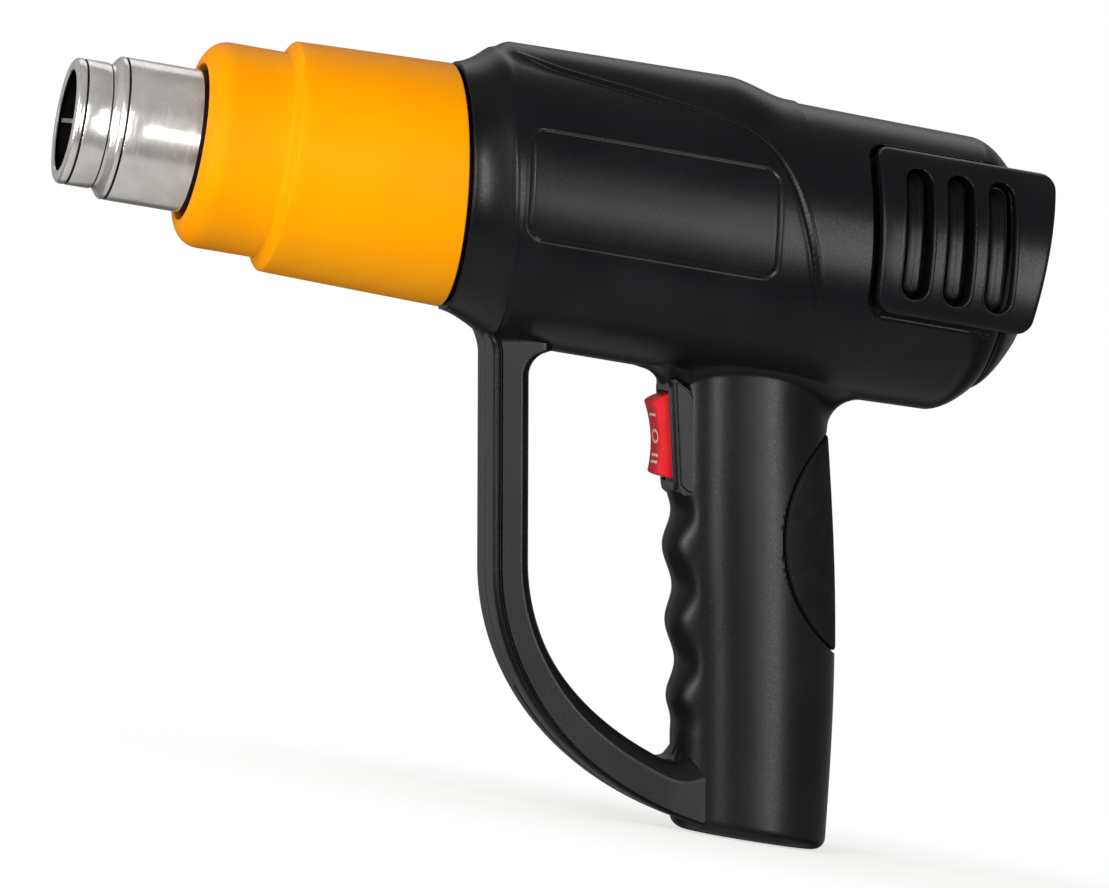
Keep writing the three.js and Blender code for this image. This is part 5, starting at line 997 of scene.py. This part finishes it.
# White paper sweep: bright under the tool, and clear towards its rim so that no edge shows.
paper = bpy.data.materials.new("paper_white_sweep")
paper.use_nodes = True
tree = paper.node_tree
tree.nodes.clear()
where = add(tree, "ShaderNodeTexCoord").outputs["Object"]
reach = add(tree, "ShaderNodeVectorMath", {1: (0.075, 0, 0)}, {0: where}, operation="DISTANCE")
rim = {"Fac": reach.outputs["Value"]}
fade = add(tree, "ShaderNodeValToRGB", links=rim, stops=[(0.05, 0.0), (0.17, 1.0)])
matt = add(tree, "ShaderNodeBsdfDiffuse", {"Color": srgb("#B9B9B7")})
glow = add(tree, "ShaderNodeEmission", {"Color": srgb("#F7F7F5"), "Strength": 0.72})
sheet = add(tree, "ShaderNodeAddShader", links={0: matt.outputs[0], 1: glow.outputs[0]})
clear = add(tree, "ShaderNodeBsdfTransparent")
mixed = add(tree, "ShaderNodeMixShader", links={0: fade.outputs[0], 1: sheet.outputs[0], 2: clear.outputs[0]})
add(tree, "ShaderNodeOutputMaterial", links={"Surface": mixed.outputs[0]})
floor_data.materials.append(paper)

world = bpy.data.worlds.new("studio")
bpy.context.scene.world = world
world.use_nodes = True
tree = world.node_tree
tree.nodes.clear()
way = add(tree, "ShaderNodeTexCoord").outputs["Generated"]
height = add(tree, "ShaderNodeSeparateXYZ", links={0: way}).outputs["Z"]
span = {"From Min": -1.0, "From Max": 1.0}
share = add(tree, "ShaderNodeMapRange", span, {"Value": height}).outputs["Result"]
stops = [(0.0, 0.8), (0.16, 0.8), (0.21, 0.05), (0.33, 0.05), (0.39, 0.5), (0.45, 0.55), (0.74, 0.55),
         (0.8, 0.3), (0.94, 0.35), (1.0, 0.5)]
bands = add(tree, "ShaderNodeValToRGB", links={"Fac": share}, stops=stops)
studio = add(tree, "ShaderNodeBackground", {"Strength": 0.5}, {"Color": bands.outputs["Color"]})
white = add(tree, "ShaderNodeBackground", {"Color": srgb("#FFFFFF"), "Strength": 1.0})
seen = add(tree, "ShaderNodeLightPath").outputs["Is Camera Ray"]
mixed = add(tree, "ShaderNodeMixShader", links={0: seen, 1: studio.outputs[0], 2: white.outputs[0]})
add(tree, "ShaderNodeOutputWorld", links={"Surface": mixed.outputs[0]})


def softbox(name, place_at, aim, width, height, power):
    """A lit rectangle that faces its aim, with sizes in metres and power in watts."""
    light = bpy.data.lights.new(name, "AREA")
    light.shape, light.size, light.size_y, light.energy = "RECTANGLE", width, height, power
    lamp = bpy.data.objects.new(name, light)
    lamp.location = place_at
    lamp.rotation_euler = (Vector(aim) - Vector(place_at)).to_track_quat("-Z", "Y").to_euler()
    lamp.visible_camera = False
    bpy.context.scene.collection.objects.link(lamp)


softbox("rear_softbox", (0.05, 0.7, 0.8), (0.02, 0, 0.14), 0.9, 0.4, 1.0)
softbox("front_left_softbox", (-0.63, -1.02, 0.3), (0, 0, 0.12), 0.2, 0.8, 8.0)
softbox("front_right_softbox", (0.5, -1.09, 0.3), (0, 0, 0.12), 0.2, 0.8, 5.4)
softbox("front_card", (0.19, -1.18, 0.22), (0, 0, 0.14), 0.49, 0.32, 1.35)
softbox("left_strip", (-1.05, -0.25, 0.18), (0.03, 0, 0.1), 0.12, 0.7, 6.0)
bpy.context.scene.view_settings.view_transform = "Standard"

# Camera
AZIMUTH, ELEVATION, ROLL = math.radians(-12.5), math.radians(0.6), math.radians(9.5)
VIEW_WIDTH, DISTANCE, VIEW_MIDDLE = 0.2958, 2.4, Vector((0.0138, 0, 0.0960))
flat = math.cos(ELEVATION)
back = Vector((math.sin(AZIMUTH) * flat, -math.cos(AZIMUTH) * flat, math.sin(ELEVATION)))
level = Vector((math.cos(AZIMUTH), math.sin(AZIMUTH), 0))
up = back.cross(level)
right = level * math.cos(ROLL) + up * math.sin(ROLL)
top = up * math.cos(ROLL) - level * math.sin(ROLL)
camera_data = bpy.data.cameras.new("camera")
camera_data.lens = camera_data.sensor_width * DISTANCE / VIEW_WIDTH
camera_data.clip_start, camera_data.clip_end = 0.05, 30
camera = bpy.data.objects.new("camera", camera_data)
bpy.context.scene.collection.objects.link(camera)
turn = Matrix((right, top, back)).transposed()
camera.matrix_world = Matrix.Translation(VIEW_MIDDLE + back * DISTANCE) @ turn.to_4x4()
bpy.context.scene.camera = camera
